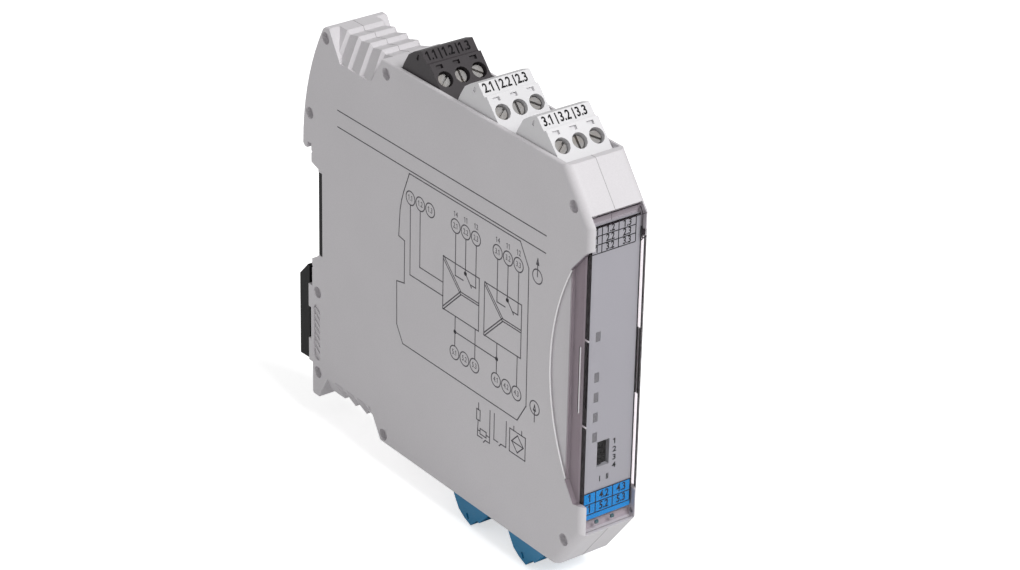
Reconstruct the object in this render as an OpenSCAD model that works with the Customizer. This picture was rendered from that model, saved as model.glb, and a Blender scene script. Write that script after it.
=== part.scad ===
// Isolating amplifier for a 35 mm mounting rail: a narrow two-shell housing with
// five plug-in screw terminals, a hinged clear front cover, a four-way slide
// switch, a circuit board with its parts, and a sprung rail foot.
// X runs along the rail, Y points from the front back to the rail, Z is up.
// The origin is on the rail's centre line, in the plane of its front face.

/* [Housing] */
// Width of the module along the rail
module_w = 16.2; // [15.6:0.1:18]
// Height between the two long flanks
flank_h = 99; // [96:0.5:104]
// Depth from the rail face to the front face
body_depth = 105.5; // [104:0.5:110]
// Thickness of the side walls
wall = 1.4; // [1.2:0.1:1.6]
// Distance of the seam between the half shells from the middle
seam_offset = 0.6; // [0.3:0.05:1.2]
// Rise of the front chamfers along the height
chamfer_rise = 11.5; // [10.5:0.5:12.5]
// Run of the front chamfers along the depth
chamfer_run = 8.8; // [8:0.2:9.6]
// Radius of the edges round the front
front_r = 2; // [1:0.1:2.2]
// Radius of the edges along the flanks
flank_r = 0.5; // [0.3:0.1:0.8]
// Radius of the round sockets over the joining pins
pin_socket_r = 1.5; // [1.2:0.1:1.6]
// Radius of the joining pins between the half shells
joining_pin_r = 1.1; // [0.8:0.1:1.2]
// Thickness of the floor under the terminal pockets
shelf_t = 1.5; // [1.2:0.1:2]

/* [Rail seat] */
// Height of the mounting rail
rail_h = 35; // [35:0.5:36]
// Thickness of the mounting rail's lips
rail_lip_t = 1; // [0.8:0.1:1.5]
// Reach of the upper hook behind the rail face
hook_reach = 3.4; // [3:0.1:4]
// Depth of the contact recess between the rail lips
recess_depth = 2.9; // [2.5:0.1:3.2]
// Thickness of the cap that fills the bus slot
bus_cap_t = 1.45; // [1.2:0.05:1.6]
// Reach of the rail foot behind the rail face
foot_reach = 5.8; // [5:0.1:6.5]

/* [Vents] */
// Number of louvres in each vent
louvre_count = 4; // [3:1:4]
// Distance from louvre to louvre
louvre_pitch = 4.6; // [4.2:0.1:4.7]
// Depth of the louvres
louvre_depth = 1; // [0.5:0.1:1.4]
// Width of the slanted shoulders beside the louvres
shoulder_w = 3; // [2.5:0.1:3.5]
// Height of the slanted shoulders beside the louvres
shoulder_h = 6.8; // [6:0.1:7.2]

/* [Terminals] */
// Distance between two poles of a plug
pole_pitch = 4.65; // [4.6:0.05:4.7]
// Distance between two plugs along the flank
plug_pitch = 21.1; // [20.8:0.1:21.3]
// Distance from the front face back to the first pair of plugs
plug_setback = 10.6; // [10.4:0.1:11]
// Width of a plug
plug_w = 14.1; // [13.9:0.1:14.3]
// Depth of a plug along the flank
plug_d = 17.7; // [17.5:0.1:18]
// Height of a plug above the flank
plug_rise = 6.6; // [6:0.1:7]
// Depth of a plug below the flank
plug_sink = 9; // [8.5:0.1:9.5]
// Tilt of a plug's screw face
face_tilt = 47; // [45:1:49]
// Radius of a screw well
well_r = 1.9; // [1.85:0.05:2]
// Radius of a screw head
screw_head_r = 1.7; // [1.5:0.05:1.75]
// Radius of a screw's shank
screw_shank_r = 1.2; // [1.1:0.05:1.3]
// Width of a wire entry
wire_entry_w = 3.3; // [3:0.1:3.5]
// Free gap round a plug in its pocket
plug_gap = 0.15; // [0.1:0.05:0.2]

/* [Front] */
// Thickness of the clear cover
cover_t = 1.2; // [1:0.05:1.3]
// Reach of the cover's side walls from the front face
cover_side = 6.5; // [6:0.1:7]
// Height of the cover's side walls above the middle
cover_side_top = 25.8; // [24:0.2:27]
// Half width of the cover's narrow ends
tongue_half = 6.75; // [6.6:0.05:6.8]
// Thickness of the front plate
plate_t = 1.15; // [1:0.05:1.4]
// Width of an indicator window
window_w = 1.3; // [1:0.1:1.5]
// Height of an indicator window
window_h = 2.4; // [2:0.1:2.8]
// Depth of the finger relief in each side
relief_depth = 0.5; // [0.3:0.1:0.8]
// Bulge of the finger relief
relief_bulge = 6.6; // [5:0.2:7.5]
// Distance between two slides of the switch
slide_pitch = 1.55; // [1.5:0.05:1.6]
// Travel of a slide
slide_travel = 1.5; // [1:0.1:1.6]

/* [Inside] */
// Thickness of the circuit board
board_t = 1.4; // [1:0.1:1.6]
// Gap between the circuit board and the left wall
board_gap = 0.45; // [0.3:0.05:0.5]
// Length of a relay
relay_l = 20; // [18:0.5:21]
// Radius of the storage capacitor
capacitor_r = 4.5; // [3.5:0.1:5]

/* [Hidden] */
$fn = 48;
eps = 0.01;
half_w = module_w / 2;
half_h = flank_h / 2;
front_y = -body_depth;
front_half = half_h - chamfer_rise;
chamfer_back = front_y + chamfer_run;
first_plug = body_depth - plug_setback - plug_d - 2 * plug_pitch;
seam_x = -seam_offset;
inner_half = half_w - wall;

// Rail seat
hook_gap = 0.7;
hook_y = rail_lip_t + hook_gap;
rail_slack = 0.1;
hook_top_z = rail_h / 2 + rail_slack;
hook_bottom_z = rail_h / 2 - 1.5;
boss_y = -5.2;
boss_drop = 0.8;
back_bulge = 2.1;
upper_seat_z = 12.9;
slot_top_z = 11.4;
slot_bottom_z = -10.6;
lower_seat_z = -12.6;
seat_relief = 0.35;
slot_y = -recess_depth - bus_cap_t - 0.05;
back_wall_y = slot_y - 1.5;

// Rail foot
foot_half = half_w - 0.4;
foot_top_z = -rail_h / 2 + 2.3;
foot_shoulder_z = foot_top_z - 3.8;
foot_bottom_z = foot_top_z - 25.4;
nose_y = rail_lip_t + 0.3;
foot_face_y = 1.75;
nose_half = half_w - 1.9;
slide_half = half_w - 2.1;
slot_half = half_w - 2.9;
slide_in_y = -2.1;
slide_out_y = -0.8;
slide_gap = 0.1;
slide_top_z = -20;
slide_bottom_z = -31;
spring_stop_z = -half_h + 4.5;
spring_wire = 0.6;
ridge_in = half_w - 1.5;
ridge_y = 1.6;
ridge_top_z = -20;
ridge_bottom_z = -40.8;
ridge_window_z = [-34.7, -26.1];

// Vents
vent_low = half_h - shoulder_h;
vent_back_y = -7.6;
vent_lean = 0.6;
vent_front_top_y = -first_plug + 6.3;
first_crest_y = -10.6;
crest_land = 0.2;
louvres = [for (k = [0 : louvre_count - 1]) if (first_crest_y - k * louvre_pitch > vent_front_top_y + 1) k];
bottom_vent_drop = 1.8;
bottom_vent_shift = 1.2;
bottom_vent_back_y = -4.6;

// Terminals
header_t = 2.5;
pocket_bottom = plug_sink + header_t;
top_places = [0, 1, 2];
bottom_places = [1, 2];
trough_depth = 4.2;
pocket_back = 0.25;
well_run = 4.2;
head_sink = 1;
head_t = 1.6;
cage_sink = 4.1;
cage_w = 3.6;
cage_l = 4.2;
cage_h = 5.2;
cage_wall = 0.6;
wire_sink = 6.7;
test_slot_depth = 0.7;
wire_entry_h = 3;
pin_size = 1;
pin_y = -14.3;
shelf_z = half_h - pocket_bottom - shelf_t;
plug_profile = [[0, 0], [-0.8, 1.55], [-2.5, 4.2], [-4.6, 5.6], [-7.2, plug_rise], [-9.4, plug_rise - 2.3],
                [-9.75, plug_rise - 2.5]];
ledge = [-10.35, plug_rise - 2.1];
face_run = plug_d + ledge[0];
face_foot_z = ledge[1] - face_run * tan(face_tilt);

// Front
hinge_r = 1.25;
hinge_y = front_y + hinge_r + 0.05;
hinge_z = -front_half + 1.4;
hinge_pin_r = 0.6;
hinge_gap = 0.05;
hinge_pin_end = half_w - 0.75;
cover_gap = 0.1;
cover_in_y = front_y + cover_t;
plate_y = cover_in_y + 0.45;
plate_back_y = plate_y + plate_t;
plate_half = tongue_half - 0.15;
plate_low_z = hinge_z + hinge_r + 0.15;
plate_top_z = front_half - 0.8;
tongue_top_z = front_half + 1.9;
tongue_corner_r = 1.1;
side_back_y = front_y + cover_side;
side_low_z = -front_half + 11.7;
side_knee_z = front_half - 6.8;
side_floor_half = half_w - cover_t - 0.15;
ear_r = 6.1;
frame_half = half_w - 2.6;
frame_back_y = front_y + 8.5;
relief_r = (pow(cover_side_top, 2) + pow(relief_bulge, 2)) / (2 * relief_bulge);
window_x = -half_w + 4.05;
window_z = [for (d = [45.7, 35.7, 30.7, 25.7, 20.7]) plate_low_z + d];
switch_x = -half_w + 6.6;
switch_z = plate_low_z + 16;
switch_open_w = 3.4;
switch_open_h = 6.4;
label_top_z = plate_low_z + 6.9;
label_t = 0.15;

// Inside
board_left_x = -inner_half + board_gap;
board_x = board_left_x + board_t;
board_front_y = frame_back_y + 0.2;
board_back_y = -7;
board_half = shelf_z - 1.5;
post_r = 2;
posts = [for (y = [board_front_y + 16.3, board_back_y - 5]) for (s = [1, -1]) [y, s * (board_half - 4)]];
joined_places = [[-6.14, half_h - 2.9], [-first_plug + 4.8, half_h - 3.1], [front_y + 6.4, front_half + 3],
                 [front_y + 6.4, -front_half - 3.6], [-first_plug + 5.4, -half_h + 2.2], [0.55, rail_h / 2 + 7.8]];
socket_places = concat(joined_places, [[-2.2, -half_h + 6.8], [-2.2, -20.9]]);

// Shared shapes

// Extrudes a profile drawn as [depth, height] between two places across the width
module x_range(x0, x1) {
    translate([x0, 0, 0]) rotate([90, 0, 90]) linear_extrude(x1 - x0) children();
}

module x_wide(w) {
    x_range(-w / 2, w / 2) children();
}

module block(x0, x1, y0, y1, z0, z1) {
    translate([x0, y0, z0]) cube([x1 - x0, y1 - y0, z1 - z0]);
}

module both_sides() {
    children();
    mirror([1, 0, 0]) children();
}

module both_flanks() {
    children();
    mirror([0, 0, 1]) children();
}

// Points of an arc from a to b that bulges by sag to the left of the way
function arc(a, b, sag, steps) =
    let (d = b - a, len = norm(d), left = [-d[1], d[0]] / len,
         r = (len * len / 4 + sag * sag) / (2 * sag), c = (a + b) / 2 - left * (r - sag),
         from = atan2(a[1] - c[1], a[0] - c[0]), to = atan2(b[1] - c[1], b[0] - c[0]))
    [for (i = [0 : steps]) c + r * [cos(from + (to - from) * i / steps), sin(from + (to - from) * i / steps)]];

// Takes the edge off the left side along the way from p to q, to the radius r
module edge_cut(p, q, r, over) {
    way = (q - p) / norm(q - p);
    multmatrix([[1, 0, 0, -half_w], [0, way[1], way[0], p[0]], [0, -way[0], way[1], p[1]], [0, 0, 0, 1]])
        translate([0, 0, -over]) linear_extrude(norm(q - p) + 2 * over) difference() {
            translate([-1, -1]) square(r + 1);
            translate([r, r]) circle(r);
        }
}

// Housing

function outline() = concat(
    [[front_y, -front_half], [front_y, front_half], [chamfer_back, half_h], [boss_y - 1, half_h]],
    arc([boss_y, half_h - boss_drop], [hook_reach, hook_bottom_z + 0.7], back_bulge, 9),
    [[hook_reach - 0.7, hook_bottom_z], [hook_y, hook_bottom_z], [hook_y, hook_top_z], [0, hook_top_z],
     [0, hook_bottom_z - 0.1], [-seat_relief, hook_bottom_z - 0.1 - seat_relief],
     [0, hook_bottom_z - 0.1 - 2 * seat_relief],
     [0, upper_seat_z], [-recess_depth, slot_top_z + 0.6], [-recess_depth, slot_top_z], [slot_y, slot_top_z],
     [slot_y, slot_bottom_z], [-recess_depth, slot_bottom_z], [-recess_depth + 0.8, slot_bottom_z - 0.7],
     [0, lower_seat_z], [0, foot_top_z + 0.15 + 2 * seat_relief], [-seat_relief, foot_top_z + 0.15 + seat_relief],
     [0, foot_top_z + 0.15], [0, -half_h + 0.7], [-0.7, -half_h], [chamfer_back, -half_h]]);

module cavity() {
    x_wide(2 * inner_half) polygon([
        [frame_back_y, -shelf_z], [frame_back_y, shelf_z],
        [-first_plug + 1.5, shelf_z], [-first_plug + 1.5, vent_low - 1.6],
        [back_wall_y - 1.5, vent_low - 1.6], [back_wall_y, vent_low - 5],
        [back_wall_y, -vent_low + 5], [back_wall_y - 1.5, -vent_low + 1.6],
        [-first_plug + 1.5, -vent_low + 1.6], [-first_plug + 1.5, -shelf_z]]);
    block(-frame_half, frame_half, plate_back_y - 1, frame_back_y + 1, plate_low_z + 1.5, plate_top_z - 1.2);
}

module terminal_pocket(k) {
    back = -first_plug - k * plug_pitch + pocket_back;
    front = back - pocket_back - plug_d - 0.25;
    half = plug_w / 2 + plug_gap;
    block(-half, half, front, back, half_h - pocket_bottom, half_h + 1);
    block(-pole_pitch - 1, pole_pitch + 1, back + pin_y - 1.3, back + pin_y + 0.9, shelf_z - 1,
          half_h - pocket_bottom + 1);
}

module terminal_trough(first, last) {
    half = plug_w / 2 + plug_gap;
    block(-half, half, -first_plug - last * plug_pitch - plug_d - 0.25,
          -first_plug - first * plug_pitch + pocket_back, half_h - trough_depth, half_h + 1);
}

module terminal_openings() {
    terminal_trough(top_places[0], top_places[2]);
    for (k = top_places) terminal_pocket(k);
    mirror([0, 0, 1]) {
        terminal_trough(bottom_places[0], bottom_places[1]);
        for (k = bottom_places) terminal_pocket(k);
    }
}

// The space that the cover, its hinge and the front plate take out of the front
module front_opening() {
    half = tongue_half + cover_gap;
    block(-half, half, front_y - 2, plate_back_y, plate_low_z - 0.1, tongue_top_z + 0.2);
    block(-half, half, front_y - 2, hinge_y, hinge_z - hinge_r - 0.1, plate_low_z);
    translate([0, hinge_y, hinge_z]) rotate([0, 90, 0]) cylinder(h = 2 * half, r = hinge_r + 0.1, center = true);
    translate([0, hinge_y, hinge_z]) rotate([0, 90, 0])
        cylinder(h = 2 * (hinge_pin_end + hinge_gap), r = hinge_pin_r + hinge_gap, center = true);
}

function cover_side_points(grow) = [
    [front_y - 2, side_knee_z + 2.1 + 2.5 * grow], [front_y + 1.8, side_knee_z + 2.5 * grow],
    [side_back_y + grow, cover_side_top + 1.5 * grow], [side_back_y + grow, side_low_z - grow],
    [side_back_y - 2.9, side_low_z - 4.6 - grow], [front_y - 2, side_low_z - 4.6 - grow]];

// Side walls of the cover, or with grow the space for them
module side_wall_area(grow) {
    difference() {
        polygon(cover_side_points(grow));
        translate([hinge_y, hinge_z]) circle(ear_r - grow);
    }
}

module side_openings() {
    both_sides() {
        x_range(-half_w - 1, -side_floor_half) side_wall_area(0.15);
        x_range(-half_w - 1, -half_w + relief_depth) intersection() {
            translate([side_back_y + relief_bulge - relief_r, 0]) circle(relief_r, $fn = 180);
            translate([side_back_y - 1, -half_h]) square([relief_bulge + 2, flank_h]);
        }
    }
}

module pin_sockets() {
    for (p = socket_places)
        both_sides() translate([-half_w - 1, p[0], p[1]]) rotate([0, 90, 0]) cylinder(h = 2.4, r = pin_socket_r);
}

// Long oval grips with serrations low on both sides
module side_grips() {
    grip_half = 1.35;
    both_sides() difference() {
        x_range(-half_w - 1, -half_w + 0.6) {
            translate([-1.8, -25.8]) circle(grip_half);
            translate([-1.8, -38.2]) circle(grip_half);
            translate([-1.8 - grip_half, -38.2]) square([2 * grip_half, 12.4]);
        }
        for (i = [0 : 6]) translate([-half_w + 0.6, -1.8, -26.6 - i * 1.8]) rotate([35, 0, 0])
            cube([0.6, 2.9, 0.5], center = true);
    }
}

module foot_guide() {
    block(-slide_half - slide_gap, slide_half + slide_gap, slide_in_y - slide_gap, slide_out_y + slide_gap,
          spring_stop_z, slide_top_z + 0.15);
    block(-slot_half - slide_gap, slot_half + slide_gap, slide_in_y - slide_gap, 1, spring_stop_z + 0.5,
          slide_top_z + 0.15);
}

module guide_ridges(x0, x1) {
    intersection() {
        block(x0, x1, -1, ridge_y, ridge_bottom_z, ridge_top_z);
        both_sides() difference() {
            block(-half_w, -ridge_in, -1, ridge_y, ridge_bottom_z, ridge_top_z);
            block(-half_w - 1, -ridge_in + 1, 0.6, ridge_y + 1, ridge_window_z[0], ridge_window_z[1]);
        }
    }
}

// Slanted shoulders and louvres of one vent, cut from the upper back; the lower
// vent has its own back end and a lower rise
module vent_area(back, low, over) {
    x_range(-half_w - 1, 0) polygon([
        [back - vent_lean * (half_h - low), low], [back + vent_lean * over, half_h + over],
        [vent_front_top_y - vent_lean * over, half_h + over],
        [vent_front_top_y + vent_lean * (half_h - low), low]]);
}

module shoulder_cut(back, low) {
    run = shoulder_w / (half_h - low);
    intersection() {
        vent_area(back, low, 3);
        rotate([90, 0, 0]) linear_extrude(2 * flank_h, center = true) polygon([
            [-half_w - run, low - 1], [-half_w + run * (half_h - low + 4), half_h + 4],
            [-half_w - 3, half_h + 4], [-half_w - 3, low - 1]]);
    }
}

module louvre_top(k) {
    crest = first_crest_y - k * louvre_pitch;
    next = max(crest - louvre_pitch + crest_land, vent_front_top_y + 0.2);
    x_wide(module_w - 2 * shoulder_w + 1.2) polygon([
        [crest, half_h + 1], [crest, half_h], [crest - vent_lean * louvre_depth, half_h - louvre_depth],
        [next, half_h], [next, half_h + 1]]);
}

module louvre_shoulder(k, back, low) {
    crest = first_crest_y - k * louvre_pitch;
    down = [-shoulder_w, 0, low - half_h];
    along = down / norm(down);
    out = [low - half_h, 0, shoulder_w] / norm([half_h - low, shoulder_w]);
    across = cross(out, along);
    intersection() {
        multmatrix([[across[0], out[0], along[0], -half_w + shoulder_w], [across[1], out[1], along[1], crest],
                    [across[2], out[2], along[2], half_h], [0, 0, 0, 1]])
            translate([0, 0, -0.6]) linear_extrude(norm(down) + 1.6) polygon([
                [0, 1], [0, 0], [louvre_pitch * 0.12, -louvre_depth * 0.8], [louvre_pitch - crest_land, 0],
                [louvre_pitch - crest_land, 1]]);
        vent_area(back, low - 0.45, 1);
    }
}

module vent_cuts(back, low) {
    both_sides() {
        shoulder_cut(back, low);
        difference() {
            vent_area(back, low, 3);
            block(-half_w - 2, 1, -body_depth, 1, 0, half_h);
        }
        for (k = louvres) louvre_shoulder(k, back, low);
    }
    for (k = louvres) louvre_top(k);
}

module edge_cuts() {
    both_sides() {
        edge_cut([chamfer_back, -half_h], [front_y, -front_half], front_r, 4);
        edge_cut([front_y, -front_half], [front_y, front_half], front_r, 4);
        edge_cut([front_y, front_half], [chamfer_back, half_h], front_r, 4);
        edge_cut([chamfer_back + 1, half_h], [boss_y, half_h], flank_r, 0);
        edge_cut([0, -half_h], [chamfer_back + 1, -half_h], flank_r, 0);
    }
}

module shell(x0, x1) {
    difference() {
        union() {
            x_range(x0, x1) polygon(outline());
            guide_ridges(x0, x1);
        }
        cavity();
        terminal_openings();
        front_opening();
        side_openings();
        pin_sockets();
        side_grips();
        foot_guide();
        vent_cuts(vent_back_y, vent_low);
        translate([0, bottom_vent_shift, bottom_vent_drop]) mirror([0, 0, 1])
            vent_cuts(bottom_vent_back_y, vent_low + bottom_vent_drop);
        edge_cuts();
    }
}

joining_pin_l = 3.5;

module left_shell() {
    color("#b4b1b3") difference() {
        union() {
            shell(-half_w, seam_x);
            for (p = posts) translate([-inner_half - eps, p[0], p[1]]) rotate([0, 90, 0])
                cylinder(h = board_gap + eps, r = post_r);
        }
        for (p = joined_places) translate([seam_x - joining_pin_l - 0.5, p[0], p[1]]) rotate([0, 90, 0])
            cylinder(h = joining_pin_l + 1.5, r = joining_pin_r + 0.08);
    }
}

module right_shell() {
    color("#b4b1b3") union() {
        shell(seam_x, half_w);
        for (p = joined_places) translate([seam_x - joining_pin_l, p[0], p[1]]) rotate([0, 90, 0])
            cylinder(h = joining_pin_l + 1, r = joining_pin_r);
        for (p = posts) translate([board_x, p[0], p[1]]) rotate([0, 90, 0])
            cylinder(h = inner_half - board_x + eps, r = post_r);
    }
}

// Front plate, label, cover and what shows through them

module front_plate() {
    color("#a9a9ae") difference() {
        block(-plate_half, plate_half, plate_y, plate_back_y, plate_low_z, plate_top_z);
        for (z = window_z) block(window_x - window_w / 2, window_x + window_w / 2, plate_y - 1, plate_back_y + 1,
                                 z - window_h / 2, z + window_h / 2);
        block(switch_x - switch_open_w / 2, switch_x + switch_open_w / 2, plate_y - 1, plate_back_y + 1,
              switch_z - switch_open_h / 2, switch_z + switch_open_h / 2);
    }
}

module blue_label() {
    color("#0a8cd8") block(-plate_half + 0.1, plate_half - 0.1, plate_y - label_t, plate_y, plate_low_z + 0.1,
                           label_top_z);
}

module cover_section() {
    difference() {
        union() {
            translate([-half_w + front_r, front_y + front_r]) circle(front_r);
            translate([half_w - front_r, front_y + front_r]) circle(front_r);
            translate([-half_w, front_y + front_r]) square([module_w, cover_side]);
            translate([-half_w + front_r, front_y]) square([module_w - 2 * front_r, cover_side]);
        }
        translate([-half_w + cover_t, cover_in_y]) square([module_w - 2 * cover_t, cover_side + front_r]);
    }
}

module front_cover() {
    slope = [chamfer_run, chamfer_rise] / norm([chamfer_run, chamfer_rise]);
    top = [front_y, front_half] + slope * 2.35;
    inward = cover_t * [slope[1], -slope[0]];
    color([0.8, 0.82, 0.84, 0.4]) union() {
        intersection() {
            x_wide(2 * tongue_half) polygon([
                [front_y, hinge_z], [front_y, front_half], top, top + inward,
                [cover_in_y, front_half - 0.75], [cover_in_y, hinge_z]]);
            translate([0, front_y + 4, 0]) rotate([90, 0, 0]) linear_extrude(6) union() {
                translate([-tongue_half, hinge_z - 1]) square([2 * tongue_half, top[1] - hinge_z + 1 - tongue_corner_r]);
                for (s = [-1, 1]) translate([s * (tongue_half - tongue_corner_r), top[1] - tongue_corner_r])
                    circle(tongue_corner_r);
                translate([-tongue_half + tongue_corner_r, hinge_z]) square([2 * (tongue_half - tongue_corner_r),
                                                                             top[1] - hinge_z]);
            }
        }
        intersection() {
            translate([0, 0, -half_h]) linear_extrude(flank_h) cover_section();
            x_wide(module_w + 1) side_wall_area(0);
        }
        translate([0, hinge_y, hinge_z]) rotate([0, 90, 0]) cylinder(h = 2 * tongue_half, r = hinge_r, center = true);
        translate([0, hinge_y, hinge_z]) rotate([0, 90, 0])
            cylinder(h = 2 * hinge_pin_end, r = hinge_pin_r, center = true);
        for (i = [-3.5 : 3.5]) translate([i * 1.7, front_y + 0.35, front_half + 0.45])
            rotate([-atan2(chamfer_run, chamfer_rise), 0, 0]) cube([0.5, 0.6, 0.9], center = true);
    }
}

module light_guide() {
    color([0.55, 0.55, 0.56]) union() {
        for (z = window_z) block(window_x - window_w / 2 + 0.05, window_x + window_w / 2 - 0.05, plate_y + 0.05,
                                 frame_back_y - 1, z - window_h / 2 + 0.05, z + window_h / 2 - 0.05);
        block(window_x - window_w / 2 + 0.05, window_x + window_w / 2 - 0.05, plate_back_y + 0.1, plate_back_y + 1.5,
              window_z[4], window_z[0]);
    }
}

switch_rim = 0.25;
slider_w = 1.2;
slider_h = 0.95;
slider_x0 = switch_x - switch_open_w / 2 + 0.25;

function slider_z(i) = switch_z + (1.5 - i) * slide_pitch;

module dip_switch() {
    color("#161616") difference() {
        block(board_x, switch_x + switch_open_w / 2 + 0.3, plate_back_y + 0.1, board_front_y + 0.9,
              switch_z - switch_open_h / 2 - switch_rim, switch_z + switch_open_h / 2 + switch_rim);
        for (i = [0 : 3]) block(slider_x0 - 0.1, slider_x0 + slider_w + slide_travel + 0.1, plate_back_y - 1,
            plate_back_y + 2, slider_z(i) - slider_h / 2 - 0.1, slider_z(i) + slider_h / 2 + 0.1);
    }
}

module dip_slider(i) {
    color("#d8d8d8") block(slider_x0, slider_x0 + slider_w, plate_y + 0.3, plate_back_y + 1.9,
                           slider_z(i) - slider_h / 2, slider_z(i) + slider_h / 2);
}

// Board and its parts

module circuit_board() {
    color("#2f6b3f") block(board_left_x, board_x, board_front_y, board_back_y, -board_half, board_half);
}

module indicator_leds() {
    color("#e8e6d8") for (z = window_z) union() {
        block(board_x, window_x + 0.7, board_front_y + 1, board_front_y + 2.6, z - 1, z + 1);
        translate([window_x, board_front_y + 1.1, z]) rotate([90, 0, 0]) cylinder(h = 0.6, r = 0.6);
    }
}

transformer_y = board_front_y + 36.8;
core_l = 17;
core_h = 16;
core_leg = 4;
core_x0 = board_x + 2.2;
core_t = 5;

module core_window_2d() {
    for (s = [-1, 1]) translate([transformer_y - core_l / 2 + 3, s > 0 ? core_leg / 2 : -core_h / 2 + 2.4])
        square([core_l - 6, core_h / 2 - 2.4 - core_leg / 2]);
}

module transformer_core() {
    color("#3a3d42") x_range(core_x0, core_x0 + core_t) difference() {
        translate([transformer_y - core_l / 2, -core_h / 2]) square([core_l, core_h]);
        core_window_2d();
    }
}

module transformer_coil() {
    coil_l = core_l - 6.4;
    coil_h = core_h - 5.2;
    color("#c9a227") difference() {
        block(board_x, core_x0 + core_t + 2, transformer_y - coil_l / 2, transformer_y + coil_l / 2,
              -coil_h / 2, coil_h / 2);
        block(core_x0 - 0.1, core_x0 + core_t + 0.1, transformer_y - core_l, transformer_y + core_l,
              -core_leg / 2 - 0.1, core_leg / 2 + 0.1);
    }
}

module relay(y, z) {
    color("#20242a") union() {
        block(board_x + 0.4, board_x + 10, y - relay_l / 2, y + relay_l / 2, z - 5, z + 5);
        block(board_x, board_x + 0.5, y - relay_l / 2 + 1, y + relay_l / 2 - 1, z - 4, z + 4);
    }
}

module capacitor() {
    color("#2a3f6e") translate([board_x + capacitor_r + 0.05, board_back_y - 17, -14]) rotate([90, 0, 0]) rotate_extrude()
        polygon([[0, -8], [capacitor_r - 0.3, -8], [capacitor_r, -7.7], [capacitor_r, 5.2],
                 [capacitor_r - 0.5, 5.8], [capacitor_r, 6.4], [capacitor_r, 8], [0, 8]]);
}

module optocouplers() {
    color("#1b1b1d") for (z = [10, 22]) block(board_x, board_x + 3.4, board_back_y - 38, board_back_y - 29,
                                                  z - 3.2, z + 3.2);
}

chip_t = 1.6;

module control_chips() {
    color("#1b1b1d") {
        block(board_x, board_x + chip_t, board_front_y + 8.8, board_front_y + 16.8, -4, 4);
        block(board_x, board_x + chip_t, board_front_y + 8.8, board_front_y + 13.8, 12, 17);
        block(board_x, board_x + chip_t, board_back_y - 38, board_back_y - 33, -12, -7);
    }
}

// Terminals: a place k counts from the rear of a flank, drawn as on the upper one

module on_flank(k, top) {
    if (top) translate([0, -first_plug - k * plug_pitch, half_h]) children();
    else mirror([0, 0, 1]) translate([0, -first_plug - k * plug_pitch, half_h]) children();
}

function pole_x(i) = (i - 1) * pole_pitch;

// Moves to the screw face, with Z out of it along the screw
module at_well(i) {
    translate([pole_x(i), ledge[0] - well_run * cos(face_tilt), ledge[1] - well_run * sin(face_tilt)])
        rotate([face_tilt, 0, 0]) children();
}

module header() {
    color("#3f8f4f") union() {
        difference() {
            block(-plug_w / 2, plug_w / 2, -plug_d, 0, -pocket_bottom, -pocket_bottom + header_t);
            for (i = [0 : 2]) block(pole_x(i) - 0.55, pole_x(i) + 0.55, pin_y - 0.55, pin_y + 0.55,
                                    -pocket_bottom - 1, 0);
        }
        for (i = [0, 1]) block(pole_x(i) + pole_pitch / 2 - 0.5, pole_x(i) + pole_pitch / 2 + 0.5, -plug_d,
                               -plug_d + 0.9, -pocket_bottom, -plug_sink + 2);
    }
}

// Pins rise through the header into the plug and bend across to the board
module header_pin(i) {
    low = -pocket_bottom - shelf_t - 1 - i * 1.6;
    block(pole_x(i) - pin_size / 2, pole_x(i) + pin_size / 2, pin_y - 0.5, pin_y + 0.5, low, -plug_sink + 3.8);
    if (i > 0) block(board_x, pole_x(i), pin_y - 0.5, pin_y + 0.5, low, low + pin_size);
    if (i == 0) block(board_x, pole_x(i), pin_y - 0.5, pin_y + 0.5, low - 1, low + pin_size);
}

module header_pins() {
    color("#c9b47c") {
        for (k = [0 : 2]) on_flank(k, true) for (i = [0 : 2]) header_pin(i);
        for (k = [1, 2]) on_flank(k, false) for (i = [0 : 2]) header_pin(i);
    }
}

module plug_body_2d() {
    polygon(concat([[0, -plug_sink]], plug_profile,
                   [ledge, [-plug_d, face_foot_z], [-plug_d, -plug_sink]]));
}

module plug() {
    difference() {
        x_wide(plug_w) plug_body_2d();
        for (i = [0 : 2]) {
            at_well(i) {
                translate([0, 0, -head_sink - head_t - 0.1]) cylinder(h = 12, r = well_r);
                translate([0, 0, -cage_sink - 6.4]) cylinder(h = 10, r = screw_shank_r + 0.2);
                translate([0, 0, -cage_sink - cage_h / 2])
                    cube([cage_w + 0.2, cage_l + 0.2, cage_h + 1.2], center = true);
                translate([0, 0, -wire_sink]) rotate([-90, 0, 0]) translate([0, 0, -1])
                    block(-wire_entry_w / 2, wire_entry_w / 2, -wire_entry_h / 2, wire_entry_h / 2, 0, 16);
                translate([-0.4, well_run - 1.1, -test_slot_depth]) block(-0.7, 1.1, -0.5, 0.5, 0, 2);
            }
            block(pole_x(i) - 1, pole_x(i) + 1, pin_y - 1.1, pin_y + 1.1, -plug_sink - 1, -plug_sink + 4.2);
        }
        for (i = [0, 1]) block(pole_x(i) + pole_pitch / 2 - 0.65, pole_x(i) + pole_pitch / 2 + 0.65,
                               -plug_d - 1, -plug_d + 1.05, -plug_sink - 1, -plug_sink + 2.2);
        both_sides() translate([-plug_w / 2, -6, plug_rise - 2]) rotate([25, 0, 0])
            cube([0.6, 0.7, 1.5], center = true);
    }
}

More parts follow.
